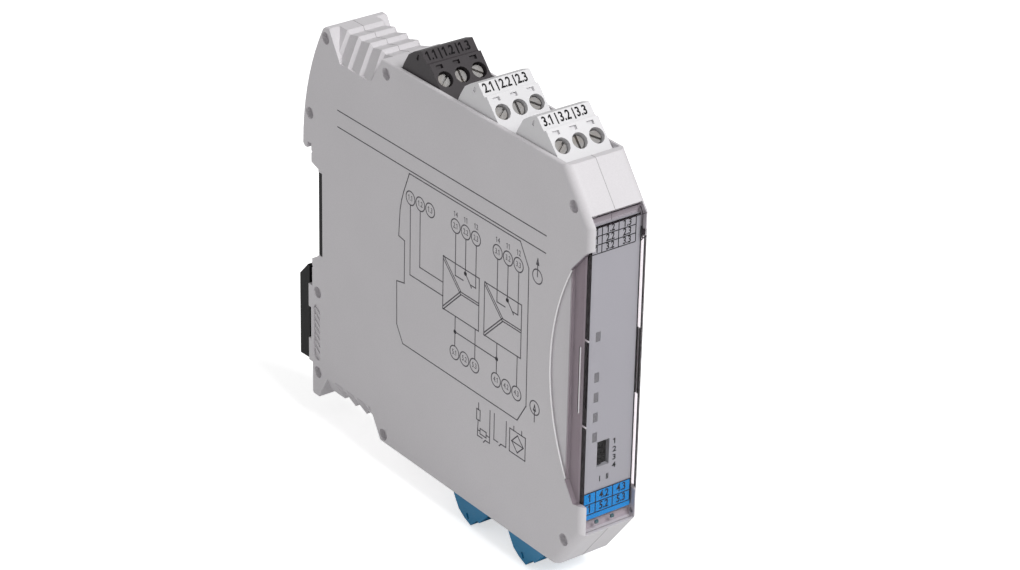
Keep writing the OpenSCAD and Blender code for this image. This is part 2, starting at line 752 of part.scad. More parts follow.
// A rising cage round the wire space, with a spring contact beside it for the pin
module clamp_set() {
    for (i = [0 : 2]) {
        at_well(i) translate([0, 0, -cage_sink - cage_h / 2]) difference() {
            cube([cage_w, cage_l, cage_h], center = true);
            cube([cage_w - 2 * cage_wall, cage_l + 1, cage_h - 2 * cage_wall - 0.4], center = true);
            cylinder(h = cage_h, r = screw_shank_r + 0.06);
        }
        difference() {
            block(pole_x(i) - 0.9, pole_x(i) + 0.9, pin_y - 0.95, pin_y + 0.95, -plug_sink + 0.2,
                  -plug_sink + 4.1);
            block(pole_x(i) - 0.6, pole_x(i) + 0.6, pin_y - 0.6, pin_y + 0.6, -plug_sink - 1,
                  -plug_sink + 3.9);
        }
    }
}

module terminal_screw(i) {
    color("#c4c4c6") at_well(i) difference() {
        union() {
            translate([0, 0, -head_sink - head_t]) cylinder(h = head_t - 0.15, r = screw_head_r);
            translate([0, 0, -head_sink - 0.16]) cylinder(h = 0.16, r1 = screw_head_r, r2 = screw_head_r - 0.2);
            translate([0, 0, -cage_sink - 1.6]) cylinder(h = cage_sink, r = screw_shank_r);
        }
        translate([0, 0, -head_sink]) rotate([0, 0, 35 + 55 * i]) cube([5, 0.55, 1.6], center = true);
    }
}

// Rail foot

module rail_foot() {
    color("#1a1a1c") difference() {
        union() {
            x_wide(2 * foot_half) polygon([
                [foot_face_y, foot_bottom_z], [foot_face_y, foot_top_z - 0.3], [nose_y + 1, foot_top_z],
                [foot_reach, foot_shoulder_z], [foot_reach, foot_bottom_z - 0.2]]);
            x_wide(2 * nose_half) polygon([
                [nose_y, foot_shoulder_z], [nose_y, foot_top_z], [nose_y + 1, foot_top_z],
                [foot_face_y + 1, foot_shoulder_z]]);
            block(-slot_half, slot_half, slide_out_y - 0.5, foot_face_y + 0.5, slide_bottom_z, slide_top_z);
            block(-slide_half, slide_half, slide_in_y, slide_out_y, slide_bottom_z, slide_top_z);
        }
        block(-2.6, 2.6, foot_face_y - 1, foot_reach + 1, foot_bottom_z + 1.8, foot_bottom_z + 3.4);
        for (z = [-26, -29, -32]) block(-5, 5, foot_reach - 0.5, foot_reach + 1, z, z + 1.2);
    }
}

// Flat spring wire bent to and fro, between the foot's slide and its stop
module foot_spring() {
    turns = 5;
    top = slide_bottom_z;
    bottom = spring_stop_z;
    step = (top - bottom - spring_wire) / turns;
    color("#b9bbbd") union() {
        for (i = [0 : turns]) block(-3.5, 3.5, -1.75, -1.15, bottom + i * step, bottom + i * step + spring_wire);
        for (i = [0 : turns - 1]) {
            side = i % 2 == 0 ? 3.5 - spring_wire : -3.5;
            block(side, side + spring_wire, -1.75, -1.15, bottom + i * step, bottom + (i + 1) * step + spring_wire);
        }
    }
}

module bus_slot_cap() {
    color("#4d4d50") difference() {
        block(-half_w + 0.1, half_w - 0.1, slot_y + 0.02, -recess_depth, slot_bottom_z + 0.1, slot_top_z - 0.1);
        for (i = [-2 : 2]) block(i * 3 - 0.5, i * 3 + 0.5, -recess_depth - 0.4, 0, slot_bottom_z + 2,
                                 slot_top_z - 2);
    }
}

left_shell();
right_shell();
front_plate();
blue_label();
front_cover();
light_guide();
circuit_board();
dip_switch();
dip_slider(0);  // dip_slider_1
dip_slider(1);  // dip_slider_2
dip_slider(2);  // dip_slider_3
dip_slider(3);  // dip_slider_4
indicator_leds();
transformer_core();
transformer_coil();
relay(board_front_y + 24.8, board_half - 11);  // relay_1
relay(board_front_y + 24.8, -board_half + 11);  // relay_2
capacitor();
optocouplers();
control_chips();
on_flank(0, true) header();  // header_1
on_flank(1, true) header();  // header_2
on_flank(2, true) header();  // header_3
on_flank(2, false) header();  // header_4
on_flank(1, false) header();  // header_5
header_pins();
color("#4a4448") on_flank(0, true) plug();  // plug_1
color("#ececec") on_flank(1, true) plug();  // plug_2
color("#ececec") on_flank(2, true) plug();  // plug_3
color("#0b7fae") on_flank(2, false) plug();  // plug_4
color("#0b7fae") on_flank(1, false) plug();  // plug_5
color("#c8b070") on_flank(0, true) clamp_set();  // clamps_1
color("#c8b070") on_flank(1, true) clamp_set();  // clamps_2
color("#c8b070") on_flank(2, true) clamp_set();  // clamps_3
color("#c8b070") on_flank(2, false) clamp_set();  // clamps_4
color("#c8b070") on_flank(1, false) clamp_set();  // clamps_5
on_flank(0, true) terminal_screw(0);  // screw_1_1
on_flank(0, true) terminal_screw(1);  // screw_1_2
on_flank(0, true) terminal_screw(2);  // screw_1_3
on_flank(1, true) terminal_screw(0);  // screw_2_1
on_flank(1, true) terminal_screw(1);  // screw_2_2
on_flank(1, true) terminal_screw(2);  // screw_2_3
on_flank(2, true) terminal_screw(0);  // screw_3_1
on_flank(2, true) terminal_screw(1);  // screw_3_2
on_flank(2, true) terminal_screw(2);  // screw_3_3
on_flank(2, false) terminal_screw(0);  // screw_4_1
on_flank(2, false) terminal_screw(1);  // screw_4_2
on_flank(2, false) terminal_screw(2);  // screw_4_3
on_flank(1, false) terminal_screw(0);  // screw_5_1
on_flank(1, false) terminal_screw(1);  // screw_5_2
on_flank(1, false) terminal_screw(2);  // screw_5_3
rail_foot();
foot_spring();
bus_slot_cap();
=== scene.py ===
"""Isolating amplifier for a 35 mm rail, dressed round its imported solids.

Run as a script. It is laid out as an add-on: sizes and colours are properties,
each group of pieces is an operator, and main() calls them in order.
"""
import math

import bmesh
import bpy
from mathutils import Matrix, Vector


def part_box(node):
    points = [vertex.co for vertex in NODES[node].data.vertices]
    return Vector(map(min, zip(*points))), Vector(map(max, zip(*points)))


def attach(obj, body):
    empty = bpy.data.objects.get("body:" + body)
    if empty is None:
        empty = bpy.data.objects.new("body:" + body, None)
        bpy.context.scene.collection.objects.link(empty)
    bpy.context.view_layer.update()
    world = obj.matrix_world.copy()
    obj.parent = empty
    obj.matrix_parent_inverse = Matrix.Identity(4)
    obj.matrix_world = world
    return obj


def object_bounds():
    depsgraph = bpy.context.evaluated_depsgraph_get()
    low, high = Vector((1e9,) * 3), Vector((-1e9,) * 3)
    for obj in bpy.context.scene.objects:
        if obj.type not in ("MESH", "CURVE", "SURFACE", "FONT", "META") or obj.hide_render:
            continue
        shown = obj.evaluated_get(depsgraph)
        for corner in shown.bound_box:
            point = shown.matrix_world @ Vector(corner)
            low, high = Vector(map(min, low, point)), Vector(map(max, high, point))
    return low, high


bl_info = {
    "name": "Isolating Amplifier",
    "version": (1, 0, 0),
    "blender": (4, 5, 0),
    "location": "View3D > Sidebar > Amplifier",
    "description": "Dresses a rail-mounted isolating amplifier with plastics, print, metal and light",
    "category": "Object",
}

MM = 0.001
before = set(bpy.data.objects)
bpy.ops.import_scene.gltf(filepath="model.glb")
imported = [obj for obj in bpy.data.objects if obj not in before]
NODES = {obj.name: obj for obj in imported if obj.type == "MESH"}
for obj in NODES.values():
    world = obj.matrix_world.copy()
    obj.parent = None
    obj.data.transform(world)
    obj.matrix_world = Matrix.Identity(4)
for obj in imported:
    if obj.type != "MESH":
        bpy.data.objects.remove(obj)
CAD_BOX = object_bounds()

# Directions in the model's frame
RIGHT, FRONT, UP = Vector((1, 0, 0)), Vector((0, -1, 0)), Vector((0, 0, 1))

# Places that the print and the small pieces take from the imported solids, in metres
SIDE_X, SEAM_X = (corner.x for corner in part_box("left_shell"))
COVER_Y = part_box("front_cover")[0].y
PLATE_LOW, PLATE_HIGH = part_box("front_plate")
LABEL_LOW, LABEL_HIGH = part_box("blue_label")
BOARD_LOW, BOARD_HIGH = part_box("circuit_board")

# Finger relief in each side, as the housing's source has it
RELIEF_TOP = 25.8 * MM
RELIEF_BULGE = 6.6 * MM
COVER_SIDE = 6.5 * MM
# Down the housing's front the seam line starts again under this height, clear of the open cover
HINGE_CLEAR = -39.5 * MM

# Plugs 1 to 3 sit above the front plate, 4 and 5 below it and the other way up
PLUG_SIDES = {1: 1, 2: 1, 3: 1, 4: -1, 5: -1}

# The photograph's camera, fitted to the housing's straight edges: its place, and degrees about X, Y and Z
CAMERA_PLACE = (SIDE_X - 413.4088 * MM, -613.2997 * MM, 363.3253 * MM)
CAMERA_TURN = (62.6318, -1.13127, -37.07332)
CAMERA_LENS = 122.34

# Share, two colours and result among the sockets of a Mix node
SHARE, COLOUR_1, COLOUR_2, MIXED = 0, 6, 7, 2
# Most values of a noise texture lie between these two
NOISE_SPAN = {"From Min": 0.3, "From Max": 0.7}
WHITE = (1.0, 1.0, 1.0, 1.0)


def hex_colour(text):
    """sRGB hex value to a linear colour."""
    parts = [int(text[i:i + 2], 16) / 255 for i in (1, 3, 5)]
    return tuple(c / 12.92 if c <= 0.04045 else ((c + 0.055) / 1.055) ** 2.4 for c in parts) + (1.0,)


def add_node(tree, kind, inputs=None, **settings):
    """Adds a node, sets its settings, and fills or links its inputs by name or number.

    A node among the inputs stands for its first output.
    """
    node = tree.nodes.new(kind)
    for name, value in settings.items():
        setattr(node, name, value)
    for key, value in (inputs or {}).items():
        if isinstance(value, bpy.types.Node):
            value = value.outputs[0]
        if isinstance(value, bpy.types.NodeSocket):
            tree.links.new(value, node.inputs[key])
        else:
            node.inputs[key].default_value = value
    return node


def empty_tree(owner):
    """The node tree of a material or a world, emptied."""
    owner.use_nodes = True
    owner.node_tree.nodes.clear()
    return owner.node_tree


def new_material(name):
    """A material, its tree, and the Object coordinates that its patterns read."""
    material = bpy.data.materials.new(name)
    tree = empty_tree(material)
    return material, tree, add_node(tree, "ShaderNodeTexCoord").outputs["Object"]


def finish_material(material, shader):
    """Links the last shader to the material's output."""
    add_node(material.node_tree, "ShaderNodeOutputMaterial", {"Surface": shader})
    return material


def shade(colour, factor):
    """The colour, lighter or darker by a factor."""
    return tuple(min(1.0, c * factor) for c in colour[:3]) + (1.0,)


def moulded_plastic(name, colour, grain_mm=0.35, bump_mm=0.006, cloud=0.04, roughness=0.5, speck=0.0,
                    ior=1.53):
    """Moulded plastic: grain in its bump and gloss, slow clouds of shade, and specks if any.

    The grain is drawn coarser than a real mould leaves it, so that it shows in the render.
    """
    material, tree, coords = new_material(name)
    grain = add_node(tree, "ShaderNodeTexNoise", {
        "Vector": coords, "Scale": 1 / (grain_mm * MM), "Detail": 3.0, "Roughness": 0.6})
    clouds = add_node(tree, "ShaderNodeTexNoise", {"Vector": coords, "Scale": 1 / (22 * MM)})
    slow = add_node(tree, "ShaderNodeMapRange", {"Value": clouds, **NOISE_SPAN})
    base = add_node(tree, "ShaderNodeMix", {
        SHARE: slow, COLOUR_1: shade(colour, 1 - cloud), COLOUR_2: shade(colour, 1 + cloud / 2)},
        data_type="RGBA").outputs[MIXED]
    if speck:
        pits = add_node(tree, "ShaderNodeMapRange", {
            "Value": grain, "From Min": 0.35, "From Max": 0.65, "To Min": speck, "To Max": 0.0})
        base = add_node(tree, "ShaderNodeMix", {
            SHARE: pits, COLOUR_1: base, COLOUR_2: shade(colour, 0.8)}, data_type="RGBA").outputs[MIXED]
    bump = add_node(tree, "ShaderNodeBump", {"Height": grain, "Strength": 0.5, "Distance": bump_mm * MM})
    gloss = add_node(tree, "ShaderNodeMapRange", {
        "Value": grain, **NOISE_SPAN, "To Min": roughness - 0.06, "To Max": roughness + 0.06})
    return finish_material(material, add_node(tree, "ShaderNodeBsdfPrincipled", {
        "Base Color": base, "IOR": ior, "Roughness": gloss, "Normal": bump}))


def metal(name, colour, roughness=0.3, scratch_mm=0.25, tint="#8a7a60", amount=0.25, stretch=(1, 1, 6)):
    """Plated or drawn metal: fine scratches along one way, and a faint stain in patches."""
    material, tree, coords = new_material(name)
    along = add_node(tree, "ShaderNodeMapping", {"Vector": coords, "Scale": stretch})
    marks = add_node(tree, "ShaderNodeTexNoise", {
        "Vector": along, "Scale": 1 / (scratch_mm * MM), "Detail": 4.0, "Roughness": 0.65})
    patches = add_node(tree, "ShaderNodeTexNoise", {"Vector": coords, "Scale": 1 / (2.5 * MM)})
    stain = add_node(tree, "ShaderNodeMapRange", {
        "Value": patches, "From Min": 0.45, "From Max": 0.75, "To Max": amount})
    base = add_node(tree, "ShaderNodeMix", {
        SHARE: stain, COLOUR_1: colour, COLOUR_2: hex_colour(tint)}, data_type="RGBA").outputs[MIXED]
    bump = add_node(tree, "ShaderNodeBump", {"Height": marks, "Strength": 0.35, "Distance": 0.006 * MM})
    gloss = add_node(tree, "ShaderNodeMapRange", {
        "Value": marks, **NOISE_SPAN, "To Min": roughness - 0.08, "To Max": roughness + 0.1})
    return finish_material(material, add_node(tree, "ShaderNodeBsdfPrincipled", {
        "Base Color": base, "Metallic": 1.0, "Roughness": gloss, "Normal": bump}))


def clear_polycarbonate(clear, side, edge, wall):
    """Clear polycarbonate, which shows what lies behind it sharply, with painted shade in its side walls.

    The side walls lie behind the depth of wall. Along rims and rounded edges, where the ways through the
    plastic are long, painted shade turns it dark purple. Faint flow waves of the mould bend only what it
    mirrors.
    """
    material, tree, coords = new_material("clear_polycarbonate")
    depth = add_node(tree, "ShaderNodeSeparateXYZ", {"Vector": coords}).outputs["Y"]
    # Painted shade: behind the depth of wall the side walls take a darker colour than the front
    in_shaded_wall = add_node(tree, "ShaderNodeMath", {0: depth, 1: wall}, operation="GREATER_THAN")
    body = add_node(tree, "ShaderNodeMix", {
        SHARE: in_shaded_wall, COLOUR_1: clear, COLOUR_2: side}, data_type="RGBA").outputs[MIXED]
    steep = add_node(tree, "ShaderNodeLayerWeight", {"Blend": 0.5}).outputs["Facing"]
    # Painted shade along rims and rounded edges, darker purple the more grazing the view
    rim_shade = add_node(tree, "ShaderNodeMapRange", {"Value": steep, "From Min": 0.6, "From Max": 0.9})
    colour = add_node(tree, "ShaderNodeMix", {
        SHARE: rim_shade, COLOUR_1: body, COLOUR_2: edge}, data_type="RGBA").outputs[MIXED]
    through = add_node(tree, "ShaderNodeBsdfTransparent", {"Color": colour})
    waves = add_node(tree, "ShaderNodeTexNoise", {"Vector": coords, "Scale": 1 / (9 * MM)})
    bump = add_node(tree, "ShaderNodeBump", {"Height": waves, "Strength": 0.2, "Distance": 0.02 * MM})
    mirror = add_node(tree, "ShaderNodeBsdfGlossy", {"Color": WHITE, "Roughness": 0.06, "Normal": bump})
    grazing = add_node(tree, "ShaderNodeMath", {0: steep, 1: 4.0}, operation="POWER")
    share = add_node(tree, "ShaderNodeMapRange", {"Value": grazing, "To Min": 0.008, "To Max": 0.8})
    return finish_material(material, add_node(tree, "ShaderNodeMixShader", {0: share, 1: through, 2: mirror}))


def ink(name, colour, roughness=0.55):
    """Screen-printed ink, or another thin dark coat: a little uneven in cover, with a fine grain."""
    material, tree, coords = new_material(name)
    cover = add_node(tree, "ShaderNodeTexNoise", {
        "Vector": coords, "Scale": 1 / (0.5 * MM), "Detail": 3.0, "Roughness": 0.6})
    worn = add_node(tree, "ShaderNodeMapRange", {
        "Value": cover, "From Min": 0.35, "From Max": 0.7, "To Max": 0.5})
    base = add_node(tree, "ShaderNodeMix", {
        SHARE: worn, COLOUR_1: colour, COLOUR_2: shade(colour, 1.5)}, data_type="RGBA").outputs[MIXED]
    bump = add_node(tree, "ShaderNodeBump", {"Height": cover, "Strength": 0.3, "Distance": 0.004 * MM})
    return finish_material(material, add_node(tree, "ShaderNodeBsdfPrincipled", {
        "Base Color": base, "Roughness": roughness, "IOR": 1.25, "Normal": bump}))


def enamelled_copper(colour, wire_mm=0.32):
    """Enamelled copper wire wound in layers: bands one wire apart, with painted shade between the wires so
    the crowns look shiny.
    """
    material, tree, coords = new_material("enamelled_copper")
    # A wave texture repeats every pi / 10 at scale 1
    bands = add_node(tree, "ShaderNodeTexWave", {
        "Vector": coords, "Scale": math.pi / 10 / (wire_mm * MM), "Distortion": 0.4},
        bands_direction="Z").outputs["Fac"]
    # Painted shade: darker in the grooves between wires, lighter on the crowns
    base = add_node(tree, "ShaderNodeMix", {
        SHARE: bands, COLOUR_1: shade(colour, 0.45), COLOUR_2: colour}, data_type="RGBA").outputs[MIXED]
    bump = add_node(tree, "ShaderNodeBump", {"Height": bands, "Strength": 0.7, "Distance": 0.08 * MM})
    return finish_material(material, add_node(tree, "ShaderNodeBsdfPrincipled", {
        "Base Color": base, "Roughness": 0.32, "Metallic": 0.4, "Normal": bump}))


def solder_mask():
    """Green solder mask over copper tracks: cells 3.2 mm wide, paler where copper lies below."""
    material, tree, coords = new_material("solder_mask_green")
    turned = add_node(tree, "ShaderNodeMapping", {"Vector": coords, "Rotation": (0, math.pi / 2, 0)})
    cells = add_node(tree, "ShaderNodeTexBrick", {
        "Vector": turned, "Scale": 1 / (3.2 * MM), "Mortar Size": 0.12, "Color1": hex_colour("#1f5a34"),
        "Color2": hex_colour("#24653b"), "Mortar": hex_colour("#184b2b")}).outputs["Color"]
    film = add_node(tree, "ShaderNodeTexNoise", {"Vector": coords, "Scale": 1 / (1.2 * MM)})
    gloss = add_node(tree, "ShaderNodeMapRange", {"Value": film, **NOISE_SPAN, "To Min": 0.22, "To Max": 0.4})
    return finish_material(material, add_node(tree, "ShaderNodeBsdfPrincipled", {
        "Base Color": cells, "Roughness": gloss, "IOR": 1.55}))


def pale_lip_highlight():
    """A near-white line of painted highlight, where lips and ridges catch the light; all lips share it."""
    name = "painted_highlight_lip"
    return bpy.data.materials.get(name) or moulded_plastic(name, hex_colour("#f6f5f6"), 0.4, 0.002, 0.01, 0.3)


def dress(material, *nodes):
    """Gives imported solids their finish."""
    for node in nodes:
        slots = NODES[node].material_slots
        if not slots:
            NODES[node].data.materials.append(material)
        for slot in slots:
            slot.material = material


def new_object(name, data):
    """An object of the scene that shows data."""
    obj = bpy.data.objects.new(name, data)
    bpy.context.scene.collection.objects.link(obj)
    return obj


def piece_from(name, mesh, body, material=None):
    """A finished piece at the origin that rides on a body."""
    obj = new_object(name, mesh)
    if material is not None:
        mesh.materials.clear()
        mesh.materials.append(material)
    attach(obj, body)


def mesh_from(work, name):
    """The mesh of a bmesh, which is freed."""
    mesh = bpy.data.meshes.new(name)
    work.to_mesh(mesh)
    work.free()
    return mesh


def joined_piece(name, meshes, body, material):
    """Several meshes as one finished piece of one material."""
    work = bmesh.new()
    for mesh in meshes:
        work.from_mesh(mesh)
        bpy.data.meshes.remove(mesh)
    piece_from(name, mesh_from(work, name), body, material)


def evaluated_mesh(obj):
    """The evaluated shape of obj as a mesh of its own; obj is removed."""
    bpy.context.view_layer.update()
    graph = bpy.context.evaluated_depsgraph_get()
    mesh = bpy.data.meshes.new_from_object(obj.evaluated_get(graph), depsgraph=graph)
    bpy.data.objects.remove(obj)
    return mesh


def run_tree(name, points, edges, tree, values):
    """Runs a geometry tree over points and edges, its inputs set by name, and returns the plain result."""
    mesh = bpy.data.meshes.new(name)
    mesh.from_pydata(points, edges, [])
    obj = new_object(name, mesh)
    modifier = obj.modifiers.new("build", "NODES")
    modifier.node_group = tree
    for item in tree.interface.items_tree:
        if item.item_type == "SOCKET" and item.in_out == "INPUT" and item.name in values:
            modifier[item.identifier] = values[item.name]
    result = evaluated_mesh(obj)
    result.name = name
    bpy.data.meshes.remove(mesh)
    return result


def new_tree(name, sizes):
    """A geometry tree with inputs for its geometry, its sizes and its material, and a geometry output."""
    tree = bpy.data.node_groups.new(name, "GeometryNodeTree")
    tree.interface.new_socket("Geometry", in_out="INPUT", socket_type="NodeSocketGeometry")
    for label, default in sizes.items():
        socket = tree.interface.new_socket(label, in_out="INPUT", socket_type="NodeSocketFloat")
        socket.default_value = default
    tree.interface.new_socket("Material", in_out="INPUT", socket_type="NodeSocketMaterial")
    tree.interface.new_socket("Geometry", in_out="OUTPUT", socket_type="NodeSocketGeometry")
    return tree, add_node(tree, "NodeGroupInput").outputs


def end_tree(tree, geometry, material):
    """Every tree ends in Realize Instances and Set Material."""
    real = add_node(tree, "GeometryNodeRealizeInstances", {"Geometry": geometry})
    painted = add_node(tree, "GeometryNodeSetMaterial", {"Geometry": real, "Material": material})
    add_node(tree, "NodeGroupOutput", {"Geometry": painted})
    return tree


def line_tree():
    """Turns each edge of a mesh into a printed line of one width."""
    tree, source = new_tree("printed_lines", {"Width": 0.3 * MM})
    curve = add_node(tree, "GeometryNodeMeshToCurve", {"Mesh": source["Geometry"]})
    radius = add_node(tree, "ShaderNodeMath", {0: source["Width"], 1: 0.5}, operation="MULTIPLY")
    profile = add_node(tree, "GeometryNodeCurvePrimitiveCircle", {"Resolution": 8, "Radius": radius})
    tube = add_node(tree, "GeometryNodeCurveToMesh", {
        "Curve": curve, "Profile Curve": profile, "Fill Caps": True})
    return end_tree(tree, tube, source["Material"])


def ring_tree():
    """Sets a printed ring round each point of a mesh, in the plane that faces along X."""
    tree, source = new_tree("printed_rings", {"Radius": 1.7 * MM, "Width": 0.3 * MM})
    path = add_node(tree, "GeometryNodeCurvePrimitiveCircle", {"Resolution": 40, "Radius": source["Radius"]})
    radius = add_node(tree, "ShaderNodeMath", {0: source["Width"], 1: 0.5}, operation="MULTIPLY")
    profile = add_node(tree, "GeometryNodeCurvePrimitiveCircle", {"Resolution": 6, "Radius": radius})
    ring = add_node(tree, "GeometryNodeCurveToMesh", {"Curve": path, "Profile Curve": profile})
    rings = add_node(tree, "GeometryNodeInstanceOnPoints", {
        "Points": source["Geometry"], "Instance": ring, "Rotation": (0, math.pi / 2, 0)})
    return end_tree(tree, rings, source["Material"])


def stud_tree():
    """Sets a small round stud on each point of a mesh, standing along X."""
    tree, source = new_tree("studs", {"Radius": 0.5 * MM, "Height": 0.5 * MM})
    stud = add_node(tree, "GeometryNodeMeshCone", {
        "Vertices": 12, "Radius Top": 0.3 * MM, "Radius Bottom": source["Radius"],
        "Depth": source["Height"]})
    studs = add_node(tree, "GeometryNodeInstanceOnPoints", {
        "Points": source["Geometry"], "Instance": stud, "Rotation": (0, math.pi / 2, 0)})
    return end_tree(tree, studs, source["Material"])


def lines_mesh(name, segments, width, material, over=0.0):
    """Each segment as a line of one width, lengthened by over at both ends so that corners close."""
    points, edges = [], []
    for a, b in segments:
        a, b = Vector(a), Vector(b)
        way = (b - a).normalized() * over
        points += [a - way, b + way]
        edges.append((len(points) - 2, len(points) - 1))
    return run_tree(name, points, edges, line_tree(), {"Width": width, "Material": material})


def edges_of(node, keep):
    """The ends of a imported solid's edges that pass a test, read from a copy whose triangles are joined."""
    work = bmesh.new()
    work.from_mesh(NODES[node].data)
    bmesh.ops.remove_doubles(work, verts=work.verts, dist=0.001 * MM)
    ends = [tuple(v.co.copy() for v in edge.verts) for edge in work.edges if keep(edge)]
    work.free()
    return ends


def is_sharp(edge):
    """Whether the faces beside an edge turn by more than 40 degrees."""
    return len(edge.link_faces) == 2 and edge.calc_face_angle() > math.radians(40)


def is_seam(edge):
    """Whether the flat joint face ends in the open air there; the shortest such edges are of pin holes."""
    flat = [face for face in edge.link_faces if abs(face.normal.x) > 0.99]
    level = all(abs(v.co.x - SEAM_X) < 0.01 * MM for v in edge.verts)
    return level and len(flat) == 1 and edge.calc_length() > 0.3 * MM


def bar_mesh(origin, low, high, edge):
    """A small bar between two corners in millimetres from origin, its edges broken to the width edge."""
    work = bmesh.new()
    bmesh.ops.create_cube(work, size=1.0)
    for vertex in work.verts:
        axes = zip(origin, low, high, vertex.co)
        vertex.co = [start + ((a + b) / 2 + c * (b - a)) * MM for start, a, b, c in axes]
    bmesh.ops.bevel(work, geom=work.edges, offset=edge * MM, segments=2, profile=0.5, affect="EDGES")
    return mesh_from(work, "bar")


def press_on_side(mesh, thick):
    """Presses what was built round the plane of the left side to a thin print just outside it."""
    for vertex in mesh.vertices:
        vertex.co.x = SIDE_X - thick * (0.75 if vertex.co.x < SIDE_X else 0.25)


def add_prism(work, low, high):
    """Adds a closed prism between two like polygons of points."""
    ends = [[work.verts.new(point) for point in polygon] for polygon in (low, high)]
    work.faces.new(ends[0][::-1])
    work.faces.new(ends[1])
    for i in range(-1, len(low) - 1):
        work.faces.new((ends[0][i], ends[0][i + 1], ends[1][i + 1], ends[1][i]))


def slab(corners, out, thick):
    """A thin slab on the polygon of corners, sunk by 0.3 of its thickness and standing out by the rest."""
    work = bmesh.new()
    add_prism(work, [Vector(c) - out * thick * 0.3 for c in corners],
              [Vector(c) + out * thick * 0.7 for c in corners])
    bmesh.ops.recalc_face_normals(work, faces=work.faces)
    return mesh_from(work, "slab")


def flag_ones(mesh, size):
    """Joins a short slanted flag to each 1, which the built-in font draws as a plain stroke."""
    work = bmesh.new()
    work.from_mesh(mesh)
    left = set(work.verts)
    while left:
        island = [left.pop()]
        for vertex in island:
            linked = {edge.other_vert(vertex) for edge in vertex.link_edges} & left
            left -= linked
            island += linked
        xs, ys, zs = zip(*(vertex.co for vertex in island))
        x, y, wide = min(xs), max(ys), max(xs) - min(xs)
        if wide < 0.2 * size and y - min(ys) > 0.5 * size:
            tip_x, tip_y, stroke = x - 0.16 * size, y - 0.13 * size, wide * 0.9
            flag = ((x, y), (tip_x, tip_y), (tip_x, tip_y - stroke), (x + 0.01 * size, y - stroke))
            add_prism(work, *([(*corner, z) for corner in flag] for z in (min(zs), max(zs))))
    bmesh.ops.recalc_face_normals(work, faces=work.faces)
    work.to_mesh(mesh)
    work.free()


def text_mesh(text, size, place, right, up, thick, heavy=0.0, squeeze=0.8):
    """A number as a thin mesh, centred on place, with the unit vectors right and up as its directions."""
    curve = bpy.data.curves.new("number", "FONT")
    curve.body = text
    curve.size = size
    curve.align_x = "CENTER"
    curve.align_y = "CENTER"
    curve.extrude = thick / 2
    curve.offset = heavy
    curve.resolution_u = 3
    mesh = evaluated_mesh(new_object("number", curve))
    bpy.data.curves.remove(curve)
    if "1" in text:
        flag_ones(mesh, size)
    turn = Matrix((right * squeeze, up, right.cross(up))).transposed().to_4x4()
    mesh.transform(Matrix.Translation(place) @ turn)
    return mesh


def colour_property(name, text, hex_text):
    return bpy.props.FloatVectorProperty(name=name, description=text, subtype="COLOR", size=4, min=0, max=1,
                                         default=hex_colour(hex_text))


def length_property(name, text, metres):
    return bpy.props.FloatProperty(name=name, description=text, subtype="DISTANCE", unit="LENGTH",
                                   default=metres, min=0.0, precision=5)


class AMP_PG_plastics(bpy.types.PropertyGroup):
    housing: colour_property("Housing", "Light grey of the two half shells", "#d3d0d3")
    plate: colour_property("Front plate", "Silver grey film on the front plate", "#aeafb4")
    label: colour_property("Label", "Blue field of the front plate", "#0091e0")
    plug_black: colour_property("Black plug", "Plug for the supply", "#332d31")
    plug_white: colour_property("White plugs", "Plugs for the outputs", "#dcdbdd")
    plug_blue: colour_property("Blue plugs", "Plugs for the safe inputs", "#0a78a6")
    foot: colour_property("Rail foot", "Black plastic of the foot and the slot cap", "#0d0c0e")
    cover: colour_property("Cover", "What the front of the clear cover lets through", "#fbfafb")
    # What the cover's side walls and rims let through is painted shade
    cover_side_shade: colour_property("Cover sides", "What the cover's side walls let through", "#e9e4e7")
    cover_rim_shade: colour_property("Cover rims", "What the cover's rims and rounded edges let through", "#5e4f58")
    # The cover's outline is painted shade along its sharp edges
    cover_edge_shade: colour_property("Cover outline", "Dark line along the sharp edges of the cover", "#2a2127")
    window: colour_property("Windows", "Smoked light guide behind the plate", "#77777a")
    grain: length_property("Grain", "Width of the spark-eroded grain", 0.35 * MM)


class AMP_PG_print(bpy.types.PropertyGroup):
    dark: colour_property("Side print", "Dark grey print on the side", "#57555a")
    black: colour_property("Numbers", "Black print of the numbers", "#0d0b0e")
    line: length_property("Line width", "Width of the lines on the side", 0.3 * MM)
    ring: length_property("Ring radius", "Radius of the terminal rings on the side", 1.7 * MM)
    thick: length_property("Print thickness", "How far print stands out", 0.03 * MM)
    seam: length_property("Seam width", "Width of the line between the half shells", 0.1 * MM)
    # The lip is a line of painted highlight this wide
    lip: length_property("Lip width", "Width of the lip round a finger relief", 0.34 * MM)
    # The cover's rims take lines of painted shade this wide
    rim_shade: length_property("Rim width", "Width of the dark rims of the cover", 0.16 * MM)
    number: length_property("Side number size", "Size of the numbers in the rings", 1.9 * MM)
    plug_number: length_property("Plug number size", "Size of the numbers on the plugs", 3.1 * MM)


class AMP_PG_metals(bpy.types.PropertyGroup):
    screw: colour_property("Screws", "Zinc on the terminal screws", "#a6a4a3")
    contact: colour_property("Contacts", "Tinned brass of cages and pins", "#c9bb93")
    spring: colour_property("Spring", "Drawn steel of the foot spring", "#b4b6b8")


class AMP_PG_stage(bpy.types.PropertyGroup):
    floor: colour_property("Floor", "Pale floor", "#f4f4f4")
    key: bpy.props.FloatProperty(name="Key light", description="Power of the large soft light in front",
                                 subtype="POWER", unit="POWER", default=14.0, min=0.0)
    fill: bpy.props.FloatProperty(name="Fill light", description="Power of the soft light at the side",
                                  subtype="POWER", unit="POWER", default=1.0, min=0.0)
    lift: bpy.props.FloatProperty(name="Floor lift", default=0.6, min=0.0,
                                  description="Light added to the floor as the camera sees it")
    world: bpy.props.FloatProperty(name="World", description="Strength of the even white surroundings",
                                   default=0.39, min=0.0)


